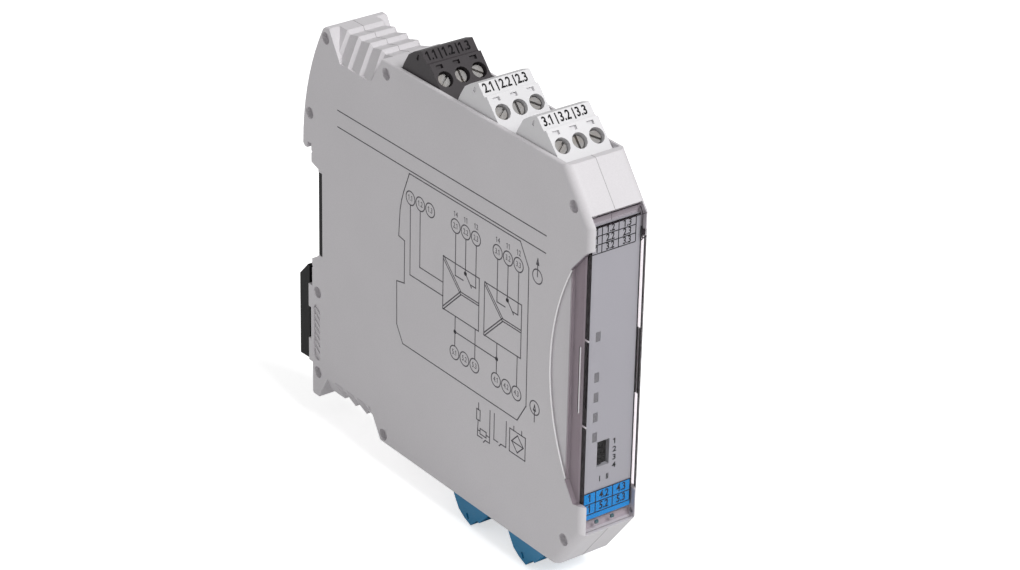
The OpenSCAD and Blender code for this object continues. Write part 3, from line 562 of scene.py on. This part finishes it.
class AMP_OT_housing(bpy.types.Operator):
    """Finish the half shells, the rail foot, its spring and the slot cap"""
    bl_idname = "amp.housing"
    bl_label = "Housing"

    def execute(self, context):
        plastics, metals = context.scene.amp_plastics, context.scene.amp_metals
        # Polyamide from spark-eroded moulds: dull, with a fine even grain
        dress(moulded_plastic("spark_eroded_polyamide_grey", plastics.housing, plastics.grain / MM,
                              bump_mm=0.012, cloud=0.03, roughness=0.58, speck=0.25),
              "left_shell", "right_shell")
        # Glass-filled polyamide: black, its shine broken up into specks by the glass
        dress(moulded_plastic("glass_filled_polyamide_black", plastics.foot, grain_mm=0.3, bump_mm=0.01,
                              cloud=0.15, roughness=0.42, speck=0.3, ior=1.3), "rail_foot", "bus_slot_cap")
        # Hard-drawn spring steel: bright, with draw marks along the wire
        dress(metal("drawn_spring_steel", metals.spring, 0.22, 0.2, amount=0.1), "foot_spring")
        return {"FINISHED"}


class AMP_OT_side_print(bpy.types.Operator):
    """Print the wiring plan on the left side: the module's outline, terminals, barriers and contacts"""
    bl_idname = "amp.side_print"
    bl_label = "Side print"

    def execute(self, context):
        style = context.scene.amp_print
        # Screen print: dark grey, a little uneven in cover over the grain
        dark = ink("screen_print_dark_grey", style.dark)
        # Routes through (Y, Z) on the side in millimetres; first one output's channel, then the other like it
        channel = [
            [(-52.8, -3.3), (-66.4, -3.3), (-66.4, 10), (-52.8, 10), (-52.8, -3.3)],
            [(-57.4, 17.6), (-57.4, 7), (-60.4, 7)], [(-61.2, 17.6), (-61.2, 9), (-63.4, 6.6)],
            [(-65.1, 17.6), (-65.1, 7), (-63.2, 7), (-63.5, 6.4)]]
        for off in (-0.3, 0.3):
            fork = (-59.6, 3.4 + off * 1.4)
            channel += [[(-66.2, 3.4 + off), (-59.6, 3.4 + off)],
                        [fork, (-53, 9.7 + off * 1.4)], [fork, (-53, -3.0 + off * 1.4)]]
        routes = channel + [[(y - 15.6, z) for y, z in route] for route in channel]
        # Two barriers, the module's outline with its rounded step at the back, and the leads of the supply
        back = [(-39.5 + 3.7 * math.sin(t * 0.314) ** 1.1, 25.3 - 12.9 * t / 5) for t in range(6)]
        routes += [
            [(-90, 30.3), (-11, 30.3)], [(-90, 26.1), (-11, 26.1)],
            [(-81, 25.3), *back, (-35.5, 8), (-37.8, 7.6), (-37.8, -3.3), (-34.8, -3.9), (-34.9, -15.2),
             (-37.3, -19.3), (-81.3, -19.3), (-84.4, -14.3), (-84.2, 20), (-81, 25.3)],
            [(-40, 17.6), (-40, -0.2), (-52.8, -0.2)], [(-43.8, 17.6), (-43.8, 3.3), (-52.8, 3.3)]]
        # Leads of the inputs, two of them joined, then signs for output and input, and sensors to join
        routes += [[(y, -3.3), (y, -11)] for y in (-57.6, -65.2, -73.3, -80.8)]
        routes += [
            [(-57.6, -7.3), (-73.3, -7.3)], [(-87.3, 19.3), (-87.3, 22.6)],
            [(-87.7, 22.2), (-87.3, 23.6), (-86.9, 22.2), (-87.7, 22.2)], [(-87.5, -16.8), (-87.5, -13.8)],
            [(-87.9, -14), (-87.5, -12.6), (-87.1, -14), (-87.9, -14)],
            [(-84.5, -22.5), (-78.7, -22.5), (-78.7, -28.4), (-84.5, -28.4), (-84.5, -22.5)],
            [(-83.8, -25.4), (-81.6, -23.2), (-79.5, -25.4), (-81.6, -27.6), (-83.8, -25.4), (-79.5, -25.4)],
            [(-83.1, -22.5), (-83.1, -21.4)], [(-80.2, -22.5), (-80.2, -21.4)],
            [(-77.4, -21.5), (-77.4, -28.2), (-75.6, -28.2), (-74.9, -28.9)],
            [(-72.9, -21.5), (-72.9, -28.2), (-74.4, -28.2)],
            [(-71.3, -21.5), (-71.3, -30), (-69.7, -30), (-69, -30.8)], [(-71.3, -28.5), (-70, -28.5)],
            [(-68.5, -30), (-66.7, -30), (-66.9, -25.9)], [(-67.7, -28.5), (-66.8, -28.5)],
            [(-70, -29.2), (-70, -27.8), (-67.7, -27.8), (-67.7, -29.2), (-70, -29.2)],
            [(-67, -21.5), (-67, -23.2), (-67.6, -23.2), (-67.6, -25.9), (-66.3, -25.9), (-66.3, -23.2),
             (-67, -23.2)]]

        def place(point):
            return (SIDE_X, point[0] * MM, point[1] * MM)

        segments = [(place(a), place(b)) for route in routes for a, b in zip(route, route[1:])]
        drawn = lines_mesh("side_lines", segments, style.line, dark, style.line * 0.45)
        # Rings of the terminals: each group's first ring, in the upper or the lower row
        pitch, upper, lower = 3.8, 19.3, -12.7
        groups = ((1, -40, upper), (2, -57.3, upper), (3, -72.9, upper), (5, -57.5, lower), (4, -73.2, lower))
        marks = [(group, i, y - pitch * i, z) for group, y, z in groups for i in range(3)]
        centres = [place((y, z)) for _, _, y, z in marks]
        centres += [place((-87.3, 19.3)), place((-87.5, -13.3))]
        rings = run_tree("side_rings", centres, [], ring_tree(),
                         {"Radius": style.ring, "Width": style.line, "Material": dark})
        dots = [place(p) for p in ((-61.2, 9), (-76.8, 9), (-57.6, -7.3), (-73.3, -7.3))]
        spots = run_tree("side_dots", dots, [], stud_tree(),
                         {"Radius": 0.55 * MM, "Height": 0.1 * MM, "Material": dark})
        for mesh in (drawn, rings, spots):
            press_on_side(mesh, style.thick)
        # Numbers of the relay contacts stand over the rings of the outputs
        numbers = [(f"{g}.{i + 1}", y, z) for g, i, y, z in marks]
        numbers += [(("14", "11", "12")[i], y, z + 2.9) for g, i, y, z in marks if g in (2, 3)]
        x = SIDE_X - style.thick / 2
        texts = [text_mesh(text, style.number, (x, y * MM, z * MM), FRONT, UP, style.thick)
                 for text, y, z in numbers]
        joined_piece("side_print", [drawn, rings, spots] + texts, "housing", dark)
        return {"FINISHED"}


class AMP_OT_trim(bpy.types.Operator):
    """Trace the seam of the half shells, and paint highlights along the lips of the finger reliefs"""
    bl_idname = "amp.trim"
    bl_label = "Trim"

    def execute(self, context):
        style = context.scene.amp_print
        # Only the seam near the top and bottom, the back and the front is outside, not that of the chamber
        high, rear, front = 43 * MM, -4.6 * MM, -98 * MM
        lines = []
        for a, b in edges_of("left_shell", is_seam):
            if max(abs(a.z), abs(b.z)) <= high and max(a.y, b.y) <= rear and min(a.y, b.y) >= front:
                continue
            # In front, the line stops at the plate and starts again clear of the open cover
            upper, lower = (a, b) if a.z > b.z else (b, a)
            if min(a.y, b.y) < front and HINGE_CLEAR <= lower.z < 0:
                continue
            if lower.y < front and lower.z < HINGE_CLEAR < upper.z:
                upper = lower.lerp(upper, (HINGE_CLEAR - lower.z) / (upper.z - lower.z))
            lines.append((upper, lower))
        if not lines:
            raise RuntimeError("no seam found on the left shell")
        # The narrow seam holds shade: a thin dull grey line
        shadow = ink("shaded_seam", hex_colour("#8d8a8c"), 0.8)
        piece_from("seam_line", lines_mesh("seam_line", lines, style.seam, shadow), "housing")
        # A line of painted highlight along the moulded lip where the finger relief runs out into the side
        radius = (RELIEF_TOP ** 2 + RELIEF_BULGE ** 2) / (2 * RELIEF_BULGE)
        middle = COVER_Y + COVER_SIDE + RELIEF_BULGE - radius
        reach = math.asin(RELIEF_TOP / radius)
        steps = 48
        turns = [reach * (2 * i / steps - 1) for i in range(steps + 1)]
        arc = [(middle + radius * math.cos(turn), radius * math.sin(turn)) for turn in turns]
        lips = [((side, *a), (side, *b)) for side in (SIDE_X, -SIDE_X) for a, b in zip(arc, arc[1:])]
        mesh = lines_mesh("relief_lip_highlights", lips, style.lip, pale_lip_highlight())
        piece_from("relief_lip_highlights", mesh, "housing")
        return {"FINISHED"}


class AMP_OT_cover(bpy.types.Operator):
    """Finish the clear cover, with painted shade along its rims, corner and slots, painted highlights for its
    ridges, and the hooks of its hinge
    """
    bl_idname = "amp.cover"
    bl_label = "Cover"

    def execute(self, context):
        plastics, style = context.scene.amp_plastics, context.scene.amp_print
        dress(clear_polycarbonate(plastics.cover, plastics.cover_side_shade, plastics.cover_rim_shade, COVER_Y + 2 * MM),
              "front_cover")
        # Painted shade: long ways through the clear plastic look dark along its rims, and dark lines lie
        # there
        rim_shade = ink("painted_rim_shade", plastics.cover_edge_shade, 0.2)
        # All sharp edges but the shortest, the long upright ones, those far left and those at the hinge
        outline = [(a, b) for a, b in edges_of("front_cover", is_sharp)
                   if (b - a).length > 1 * MM and max(a.x, b.x) > -6 * MM
                   and abs(a.z - b.z) < 20 * MM and min(a.z, b.z) > -34 * MM]
        # Where the cover bends back at the top, a line of painted shade runs across
        bend = Vector((6.75 * MM, COVER_Y + 0.1 * MM, 38 * MM))
        outline.append((Vector((-bend.x, bend.y, bend.z)), bend))
        mesh = lines_mesh("cover_rim_shades", outline, style.rim_shade, rim_shade)
        piece_from("cover_rim_shades", mesh, "front_cover")
        # The rounded corner away from the lamp gathers no light: a bar of painted shade runs along it and
        # ends in painted shade at the snap notch
        origin, notch = (-SIDE_X - 0.85 * MM, COVER_Y + 0.85 * MM, 0), 32.6
        corner = [bar_mesh(origin, (-0.22, -0.22, -30.3), (0.22, 0.22, notch), 0.08),
                  bar_mesh(origin, (-0.9, -0.4, notch), (0.05, 0.2, notch + 1.3), 0.1)]
        joined_piece("cover_corner_shade", corner, "front_cover", rim_shade)
        # Two small hooks of the hinge show through the cover below the label: teal, darkened with painted
        # shade
        hooks = [bar_mesh((x * MM, COVER_Y, 0), (-0.45, 0.9, -36.3), (0.45, 1.4, -35.5), 0.1)
                 for x in (-3.2, 1.2)]
        joined_piece("hinge_hooks", hooks, "front_cover",
                     moulded_plastic("hinge_hook_teal_with_shade", hex_colour("#3f6166"), 0.3, 0.004, 0.05, 0.4))
        # Just within each side wall run a painted highlight for a pale ridge and painted shade for dark
        # slots: side, and depths behind the cover's face
        slot = ink("painted_slot_shade", hex_colour("#1d151a"), 0.3)
        for name, material, marks in (
                ("cover_ridge_highlights", pale_lip_highlight(), ((-1, 2.65, 2.9), (1, 2.5, 2.8))),
                ("cover_slot_shades", slot, ((-1, 2.95, 3.15), (1, 2.95, 3.3), (1, 1.9, 2.4)))):
            bars = [bar_mesh((side * -SIDE_X * 0.99, COVER_Y, 0), (-0.1, near, -7.5), (0.1, far, 8.8), 0.04)
                    for side, near, far in marks]
            joined_piece(name, bars, "front_cover", material)
        return {"FINISHED"}


class AMP_OT_front(bpy.types.Operator):
    """Finish the front plate, its windows, switch and pegs, the painted shade in the gaps along its edges,
    the blue label and the number tables
    """
    bl_idname = "amp.front"
    bl_label = "Front"

    def execute(self, context):
        plastics, style = context.scene.amp_plastics, context.scene.amp_print
        # Matt film on the plate: even silver grey, with hardly a grain
        dress(moulded_plastic("matt_film_silver_grey", plastics.plate, 0.2, 0.003, 0.02, 0.42, 0.15),
              "front_plate")
        # Printed film: flat blue that mirrors little
        dress(moulded_plastic("printed_film_blue", plastics.label, 0.25, 0.003, 0.05, 0.4, ior=1.2),
              "blue_label")
        # Smoked acrylic: smooth grey windows with a clear highlight
        dress(moulded_plastic("smoked_acrylic", plastics.window, 0.5, 0.004, 0.1, 0.25, ior=1.49),
              "light_guide")
        # Moulded polyester of the switch, darkened with painted shade of its deep opening: near black, and
        # too fine to mirror much
        dress(moulded_plastic("polyester_black_painted_shade", hex_colour("#040304"), 0.25, 0.004, 0.1, 0.38,
                              ior=1.15), "dip_switch")
        dress(moulded_plastic("polyester_grey_painted_shade", hex_colour("#070707"), 0.25, 0.003, 0.03, 0.4,
                              ior=1.15), *(f"dip_slider_{i}" for i in (1, 2, 3, 4)))
        # Painted shade of the deep gaps along both long edges of the front plate: dull, and the darkest line
        # in front
        _, deep, tall = (PLATE_HIGH - PLATE_LOW) / MM
        gap_shades = [bar_mesh((x, PLATE_LOW.y, PLATE_LOW.z), (x0, -0.2, 0.5), (x1, deep, tall - 3), 0.04)
                 for x, x0, x1 in ((-PLATE_HIGH.x, -0.18, 0.02), (PLATE_HIGH.x, -0.02, 0.18))]
        joined_piece("plate_gap_shades", gap_shades, "housing",
                     ink("painted_gap_shade", hex_colour("#120b10"), 0.7))
        # Pegs that hold the plate at its left edge, pale with painted highlight
        pegs = [bar_mesh((PLATE_LOW.x, PLATE_LOW.y, 0), (-0.22, -0.22, z), (-0.02, deep - 0.1, z + 0.5), 0.05)
                for z in (9.9, -11.4)]
        joined_piece("plate_pegs", pegs, "housing", pale_lip_highlight())

        thick, line = style.thick, 0.24 * MM
        meshes = []

        def bar(x0, x1, z0, z1, y):
            meshes.append(slab([(x0, y, z0), (x1, y, z0), (x1, y, z1), (x0, y, z1)], FRONT, thick))

        def number(text, size, x, y, z, heavy, squeeze=0.8):
            meshes.append(text_mesh(text, size, (x, y - thick / 2, z), RIGHT, UP, thick, heavy, squeeze))

        def table(columns, rows, y, groups):
            for x in columns[1:]:
                bar(x - line / 2, x + line / 2, rows[-1], rows[0], y)
            for z in rows:
                bar(columns[0], columns[-1], z - line / 2, z + line / 2, y)
            for group, top, foot in zip(groups, rows, rows[1:]):
                size = min((top - foot) * 1.15, 2.7 * MM)
                for i, (x0, x1) in enumerate(zip(columns, columns[1:])):
                    # In the first column only the last digit stands clear of the cover's edge
                    text = f"{group}.{i + 1}" if i else "1"
                    number(text, size, (x0 + x1) / 2, y, (top + foot) / 2, 0.055 * MM)

        # Above the windows, with a heavier line on top that is painted shadow along the plate's top edge
        left, front = PLATE_LOW.x + 0.1 * MM, PLATE_LOW.y
        columns = [left] + [SIDE_X + x * MM for x in (4.2, 8.7, 13.4)]
        rows = [PLATE_HIGH.z - (0.15 + 2.07 * i) * MM for i in range(4)]
        table(columns, rows, front, (1, 2, 3))
        # Painted shadow along the plate's top edge, drawn as a black bar
        bar(left, PLATE_HIGH.x - 0.1 * MM, rows[0], rows[0] + 0.4 * MM, front)
        # On the label
        columns = [left, SIDE_X + 4.8 * MM, SIDE_X + 9.6 * MM, PLATE_HIGH.x - 0.2 * MM]
        rows = [LABEL_HIGH.z, LABEL_HIGH.z - 2.85 * MM, LABEL_LOW.z + 1.3 * MM]
        table(columns, rows, LABEL_LOW.y, (4, 5))
        # Wide digits beside the slides of the switch, and the marks of its two settings below
        digit, pitch = 1.9 * MM, 2.05
        for i in range(4):
            number(str(i + 1), digit, SIDE_X + 9.8 * MM, front, (-17.2 - pitch * i) * MM, 0.04 * MM, 1.15)
        for text, x in (("I", 5.9), ("II", 8.0)):
            number(text, digit, SIDE_X + x * MM, front, -25.6 * MM, 0.06 * MM)
        # Screen print, black on the film, with the painted shadow bar in the same ink
        joined_piece("front_print", meshes, "housing", ink("screen_print_black", style.black))
        return {"FINISHED"}


class AMP_OT_terminals(bpy.types.Operator):
    """Finish the plugs, their screws and contacts, and print their numbers"""
    bl_idname = "amp.terminals"
    bl_label = "Terminals"

    def execute(self, context):
        scene = context.scene
        plastics, metals, style = scene.amp_plastics, scene.amp_metals, scene.amp_print
        # Moulded polyamide of plugs and headers: half dull, the dark ones a little specked
        black = moulded_plastic("polyamide_black", plastics.plug_black, 0.3, 0.008, 0.1, 0.42, 0.2)
        white = moulded_plastic("polyamide_white", plastics.plug_white, 0.3, 0.006, 0.02, 0.45)
        blue = moulded_plastic("polyamide_blue", plastics.plug_blue, 0.3, 0.006, 0.08, 0.4, 0.1)
        green = moulded_plastic("polyamide_green", hex_colour("#3b7a45"), 0.3, 0.006, 0.06, 0.45)
        # Zinc-plated steel screws: grey, with turned rings and a warm chromate tint
        screw = metal("zinc_plated_steel", metals.screw, 0.34, 0.22, "#8d7a62", 0.3, (1, 1, 1))
        # Tinned brass: pale yellow where the tin is thin
        contact = metal("tinned_brass", metals.contact, 0.3, 0.2, "#a8853f", 0.4)
        # Hot-stamped numbers: sharp and black, glossier on the black plug
        stamped = ink("hot_stamped_black", style.black, 0.45)
        glossy = ink("hot_stamped_dark", hex_colour("#0c0b0d"), 0.3)
        dress(contact, "header_pins")
        dress(black, "plug_1")
        dress(white, "plug_2", "plug_3")
        dress(blue, "plug_4", "plug_5")
        for plug, side in PLUG_SIDES.items():
            dress(contact, f"clamps_{plug}")
            dress(green, f"header_{plug}")
            dress(screw, *(f"screw_{plug}_{i}" for i in (1, 2, 3)))
            # The number strip slopes from the plug's outer face down to its front
            low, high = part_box(f"plug_{plug}")
            face = high.z if side > 0 else low.z
            upper = Vector((0, high.y - 7.2 * MM, face))
            lower = Vector((0, high.y - 9.4 * MM, face - side * 2.3 * MM))
            right, up = RIGHT * side, (upper - lower).normalized()
            out = right.cross(up)
            middle = (upper + lower) / 2 + out * style.thick / 2
            size = min(style.plug_number, (upper - lower).length)
            # The numbers stand closer than the poles, and all print sits a little to the left
            pole_pitch, pitch = 4.65 * MM, 4.5 * MM
            meshes = []
            for i in (1, 2, 3):
                place = middle + right * ((i - 2) * pitch * side - 0.4 * MM)
                meshes.append(text_mesh(f"{plug}.{i}", size, place, right, up, style.thick, heavy=0.075 * MM))
            half, tall = 0.16 * MM, size * 0.42
            for step in (-0.5, 0.5):
                foot = middle + right * (step * pole_pitch - 0.3 * MM)
                corners = [foot + right * a * half + up * b * tall
                           for a, b in ((-1, -1), (1, -1), (1, 1), (-1, 1))]
                meshes.append(slab(corners, out, style.thick))
            joined_piece(f"numbers_{plug}", meshes, f"plug_{plug}",
                         glossy if plug == 1 else stamped)
        return {"FINISHED"}


class AMP_OT_inside(bpy.types.Operator):
    """Finish the circuit board and its parts, with solder points and chip legs"""
    bl_idname = "amp.inside"
    bl_label = "Inside"

    def execute(self, context):
        dress(solder_mask(), "circuit_board")
        dress(enamelled_copper(hex_colour("#c07a35")), "transformer_coil")
        # Cast resin of the indicators: milky and shiny
        dress(moulded_plastic("led_resin", hex_colour("#e4e1d2"), 0.4, 0.003, 0.03, 0.2), "indicator_leds")
        # Sintered ferrite: dark grey, dull and grainy like a stone
        dress(moulded_plastic("sintered_ferrite", hex_colour("#323438"), 0.15, 0.01, 0.1, 0.5, 0.3),
              "transformer_core")
        # Moulded relay case: smooth black with a blue cast
        dress(moulded_plastic("relay_case_black", hex_colour("#1d2126"), 0.25, 0.005, 0.08, 0.36),
              "relay_1", "relay_2")
        # Shrunk sleeve: stretched blue film with slow waves and a shine
        dress(moulded_plastic("shrink_sleeve_blue", hex_colour("#24407c"), 0.8, 0.01, 0.08, 0.22),
              "capacitor")
        # Moulded epoxy of the chips: dull black
        dress(moulded_plastic("moulded_epoxy_black", hex_colour("#1a1a1b"), 0.12, 0.008, 0.06, 0.5),
              "optocouplers", "control_chips")
        # Tin solder: bright and slightly frosted
        solder = metal("tin_solder", hex_colour("#c9cbcc"), 0.25, 0.4, "#8d8f90", 0.2)
        face = BOARD_LOW.x - 0.15 * MM
        points = []
        for plug, side in PLUG_SIDES.items():
            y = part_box(f"plug_{plug}")[1].y - 14.3 * MM
            points += [(face, y, side * (34.2 - 1.6 * i) * MM) for i in range(3)]
        # Pins of the relays in two rows each, then those of the transformer
        for z in (20.8, 27.2, -27.2, -20.8):
            points += [(face, (-80 + 5.3 * i) * MM, z * MM) for i in range(4)]
        points += [(face, (-65 + 2.5 * i) * MM, z * MM) for i in range(5) for z in (-6.4, 6.4)]
        mesh = run_tree("solder_points", points, [], stud_tree(),
                        {"Radius": 0.7 * MM, "Height": 0.38 * MM, "Material": solder})
        piece_from("solder_points", mesh, "housing")
        # Chips on the board: where each begins and ends in depth and height, and its legs on either side
        top, foot = BOARD_HIGH.x + 0.9 * MM, BOARD_HIGH.x + 0.2 * MM
        legs = []
        for y0, y1, z0, z1, count in ((-88, -80, -4, 4, 6), (-88, -83, 12, 17, 4), (-45, -40, -12, -7, 4)):
            for i in range(count):
                y = (y0 + (y1 - y0) * (i + 0.5) / count) * MM
                for z, tip in ((z0, z0 - 0.9), (z1, z1 + 0.9)):
                    legs.append(((top, y, z * MM), (foot, y, tip * MM)))
        mesh = lines_mesh("chip_legs", legs, 0.35 * MM, solder, 0.1 * MM)
        piece_from("chip_legs", mesh, "housing")
        return {"FINISHED"}


def seen_directly(tree):
    """One where the camera or clear plastic looks, and otherwise nought."""
    rays = add_node(tree, "ShaderNodeLightPath").outputs
    return add_node(tree, "ShaderNodeMath", {0: rays["Is Camera Ray"], 1: rays["Is Transmission Ray"]},
                    operation="MAXIMUM")


class AMP_OT_stage(bpy.types.Operator):
    """Set the floor, the soft lights and the camera"""
    bl_idname = "amp.stage"
    bl_label = "Stage"

    def execute(self, context):
        scene, look = context.scene, context.scene.amp_stage
        below, half = CAD_BOX[0][2] - 0.3 * MM, 4.0
        mesh = bpy.data.meshes.new("floor")
        corners = [(x * half, y * half, below) for x, y in ((-1, -1), (1, -1), (1, 1), (-1, 1))]
        mesh.from_pydata(corners, [], [(0, 1, 2, 3)])
        floor = new_object("floor", mesh)
        # Matt paper, lifted to white where it is seen
        material = bpy.data.materials.new("pale_floor")
        tree = empty_tree(material)
        paper = add_node(tree, "ShaderNodeBsdfPrincipled", {
            "Base Color": look.floor, "Roughness": 0.9, "Specular IOR Level": 0.1})
        lift = add_node(tree, "ShaderNodeMath", {0: seen_directly(tree), 1: look.lift}, operation="MULTIPLY")
        glow = add_node(tree, "ShaderNodeEmission", {"Color": WHITE, "Strength": lift})
        both = add_node(tree, "ShaderNodeAddShader", {0: paper, 1: glow})
        mesh.materials.append(finish_material(material, both))

        # White all round where it is seen, and dimmer as light
        world = bpy.data.worlds.new("even_white")
        tree = empty_tree(world)
        strength = add_node(tree, "ShaderNodeMapRange", {
            "Value": seen_directly(tree), "To Min": look.world, "To Max": 1.0})
        back = add_node(tree, "ShaderNodeBackground", {"Color": WHITE, "Strength": strength})
        add_node(tree, "ShaderNodeOutputWorld", {"Surface": back})
        scene.world = world

        # A large soft light in front and above, and a weak one from the left
        for name, place, aim, size, power in (
                ("key", (0.1, -1.0, 1.05), (0, -0.06, 0.01), 0.7, look.key),
                ("fill", (-0.9, -0.3, 0.9), (0, -0.05, 0), 0.8, look.fill)):
            light = bpy.data.lights.new(name, "AREA")
            light.shape = "DISK"
            light.size = size
            light.energy = power
            way = Vector(aim) - Vector(place)
            turn = way.to_track_quat("-Z", "Y").to_matrix().to_4x4()
            new_object(name, light).matrix_world = Matrix.Translation(place) @ turn

        lens = bpy.data.cameras.new("camera")
        lens.sensor_fit = "HORIZONTAL"
        lens.sensor_width = 36.0
        lens.lens = CAMERA_LENS
        lens.clip_start = 0.01
        camera = new_object("camera", lens)
        camera.location = CAMERA_PLACE
        camera.rotation_euler = [math.radians(turn) for turn in CAMERA_TURN]
        scene.camera = camera
        scene.view_settings.view_transform = "Standard"
        return {"FINISHED"}


class AMP_PT_sidebar(bpy.types.Panel):
    """Colours, sizes and steps of the amplifier"""
    bl_label = "Isolating Amplifier"
    bl_idname = "AMP_PT_sidebar"
    bl_space_type = "VIEW_3D"
    bl_region_type = "UI"
    bl_category = "Amplifier"

    def draw(self, context):
        column = self.layout.column()
        for step in STEPS:
            column.operator(step.bl_idname)
        for name in GROUPS:
            group = getattr(context.scene, name)
            for size_or_colour in group.__annotations__:
                column.prop(group, size_or_colour)


GROUPS = {"amp_plastics": AMP_PG_plastics, "amp_print": AMP_PG_print, "amp_metals": AMP_PG_metals,
          "amp_stage": AMP_PG_stage}
STEPS = (AMP_OT_stage, AMP_OT_housing, AMP_OT_trim, AMP_OT_cover, AMP_OT_side_print, AMP_OT_front,
         AMP_OT_terminals, AMP_OT_inside)
CLASSES = tuple(GROUPS.values()) + STEPS + (AMP_PT_sidebar,)


def register():
    for item in CLASSES:
        bpy.utils.register_class(item)
    for name, group in GROUPS.items():
        setattr(bpy.types.Scene, name, bpy.props.PointerProperty(type=group))


def unregister():
    for name in GROUPS:
        delattr(bpy.types.Scene, name)
    for item in reversed(CLASSES):
        bpy.utils.unregister_class(item)


def main():
    register()
    bpy.ops.amp.stage()
    bpy.ops.amp.housing()
    bpy.ops.amp.trim()
    bpy.ops.amp.cover()
    bpy.ops.amp.side_print()
    bpy.ops.amp.front()
    bpy.ops.amp.terminals()
    bpy.ops.amp.inside()


if __name__ == "__main__":
    main()
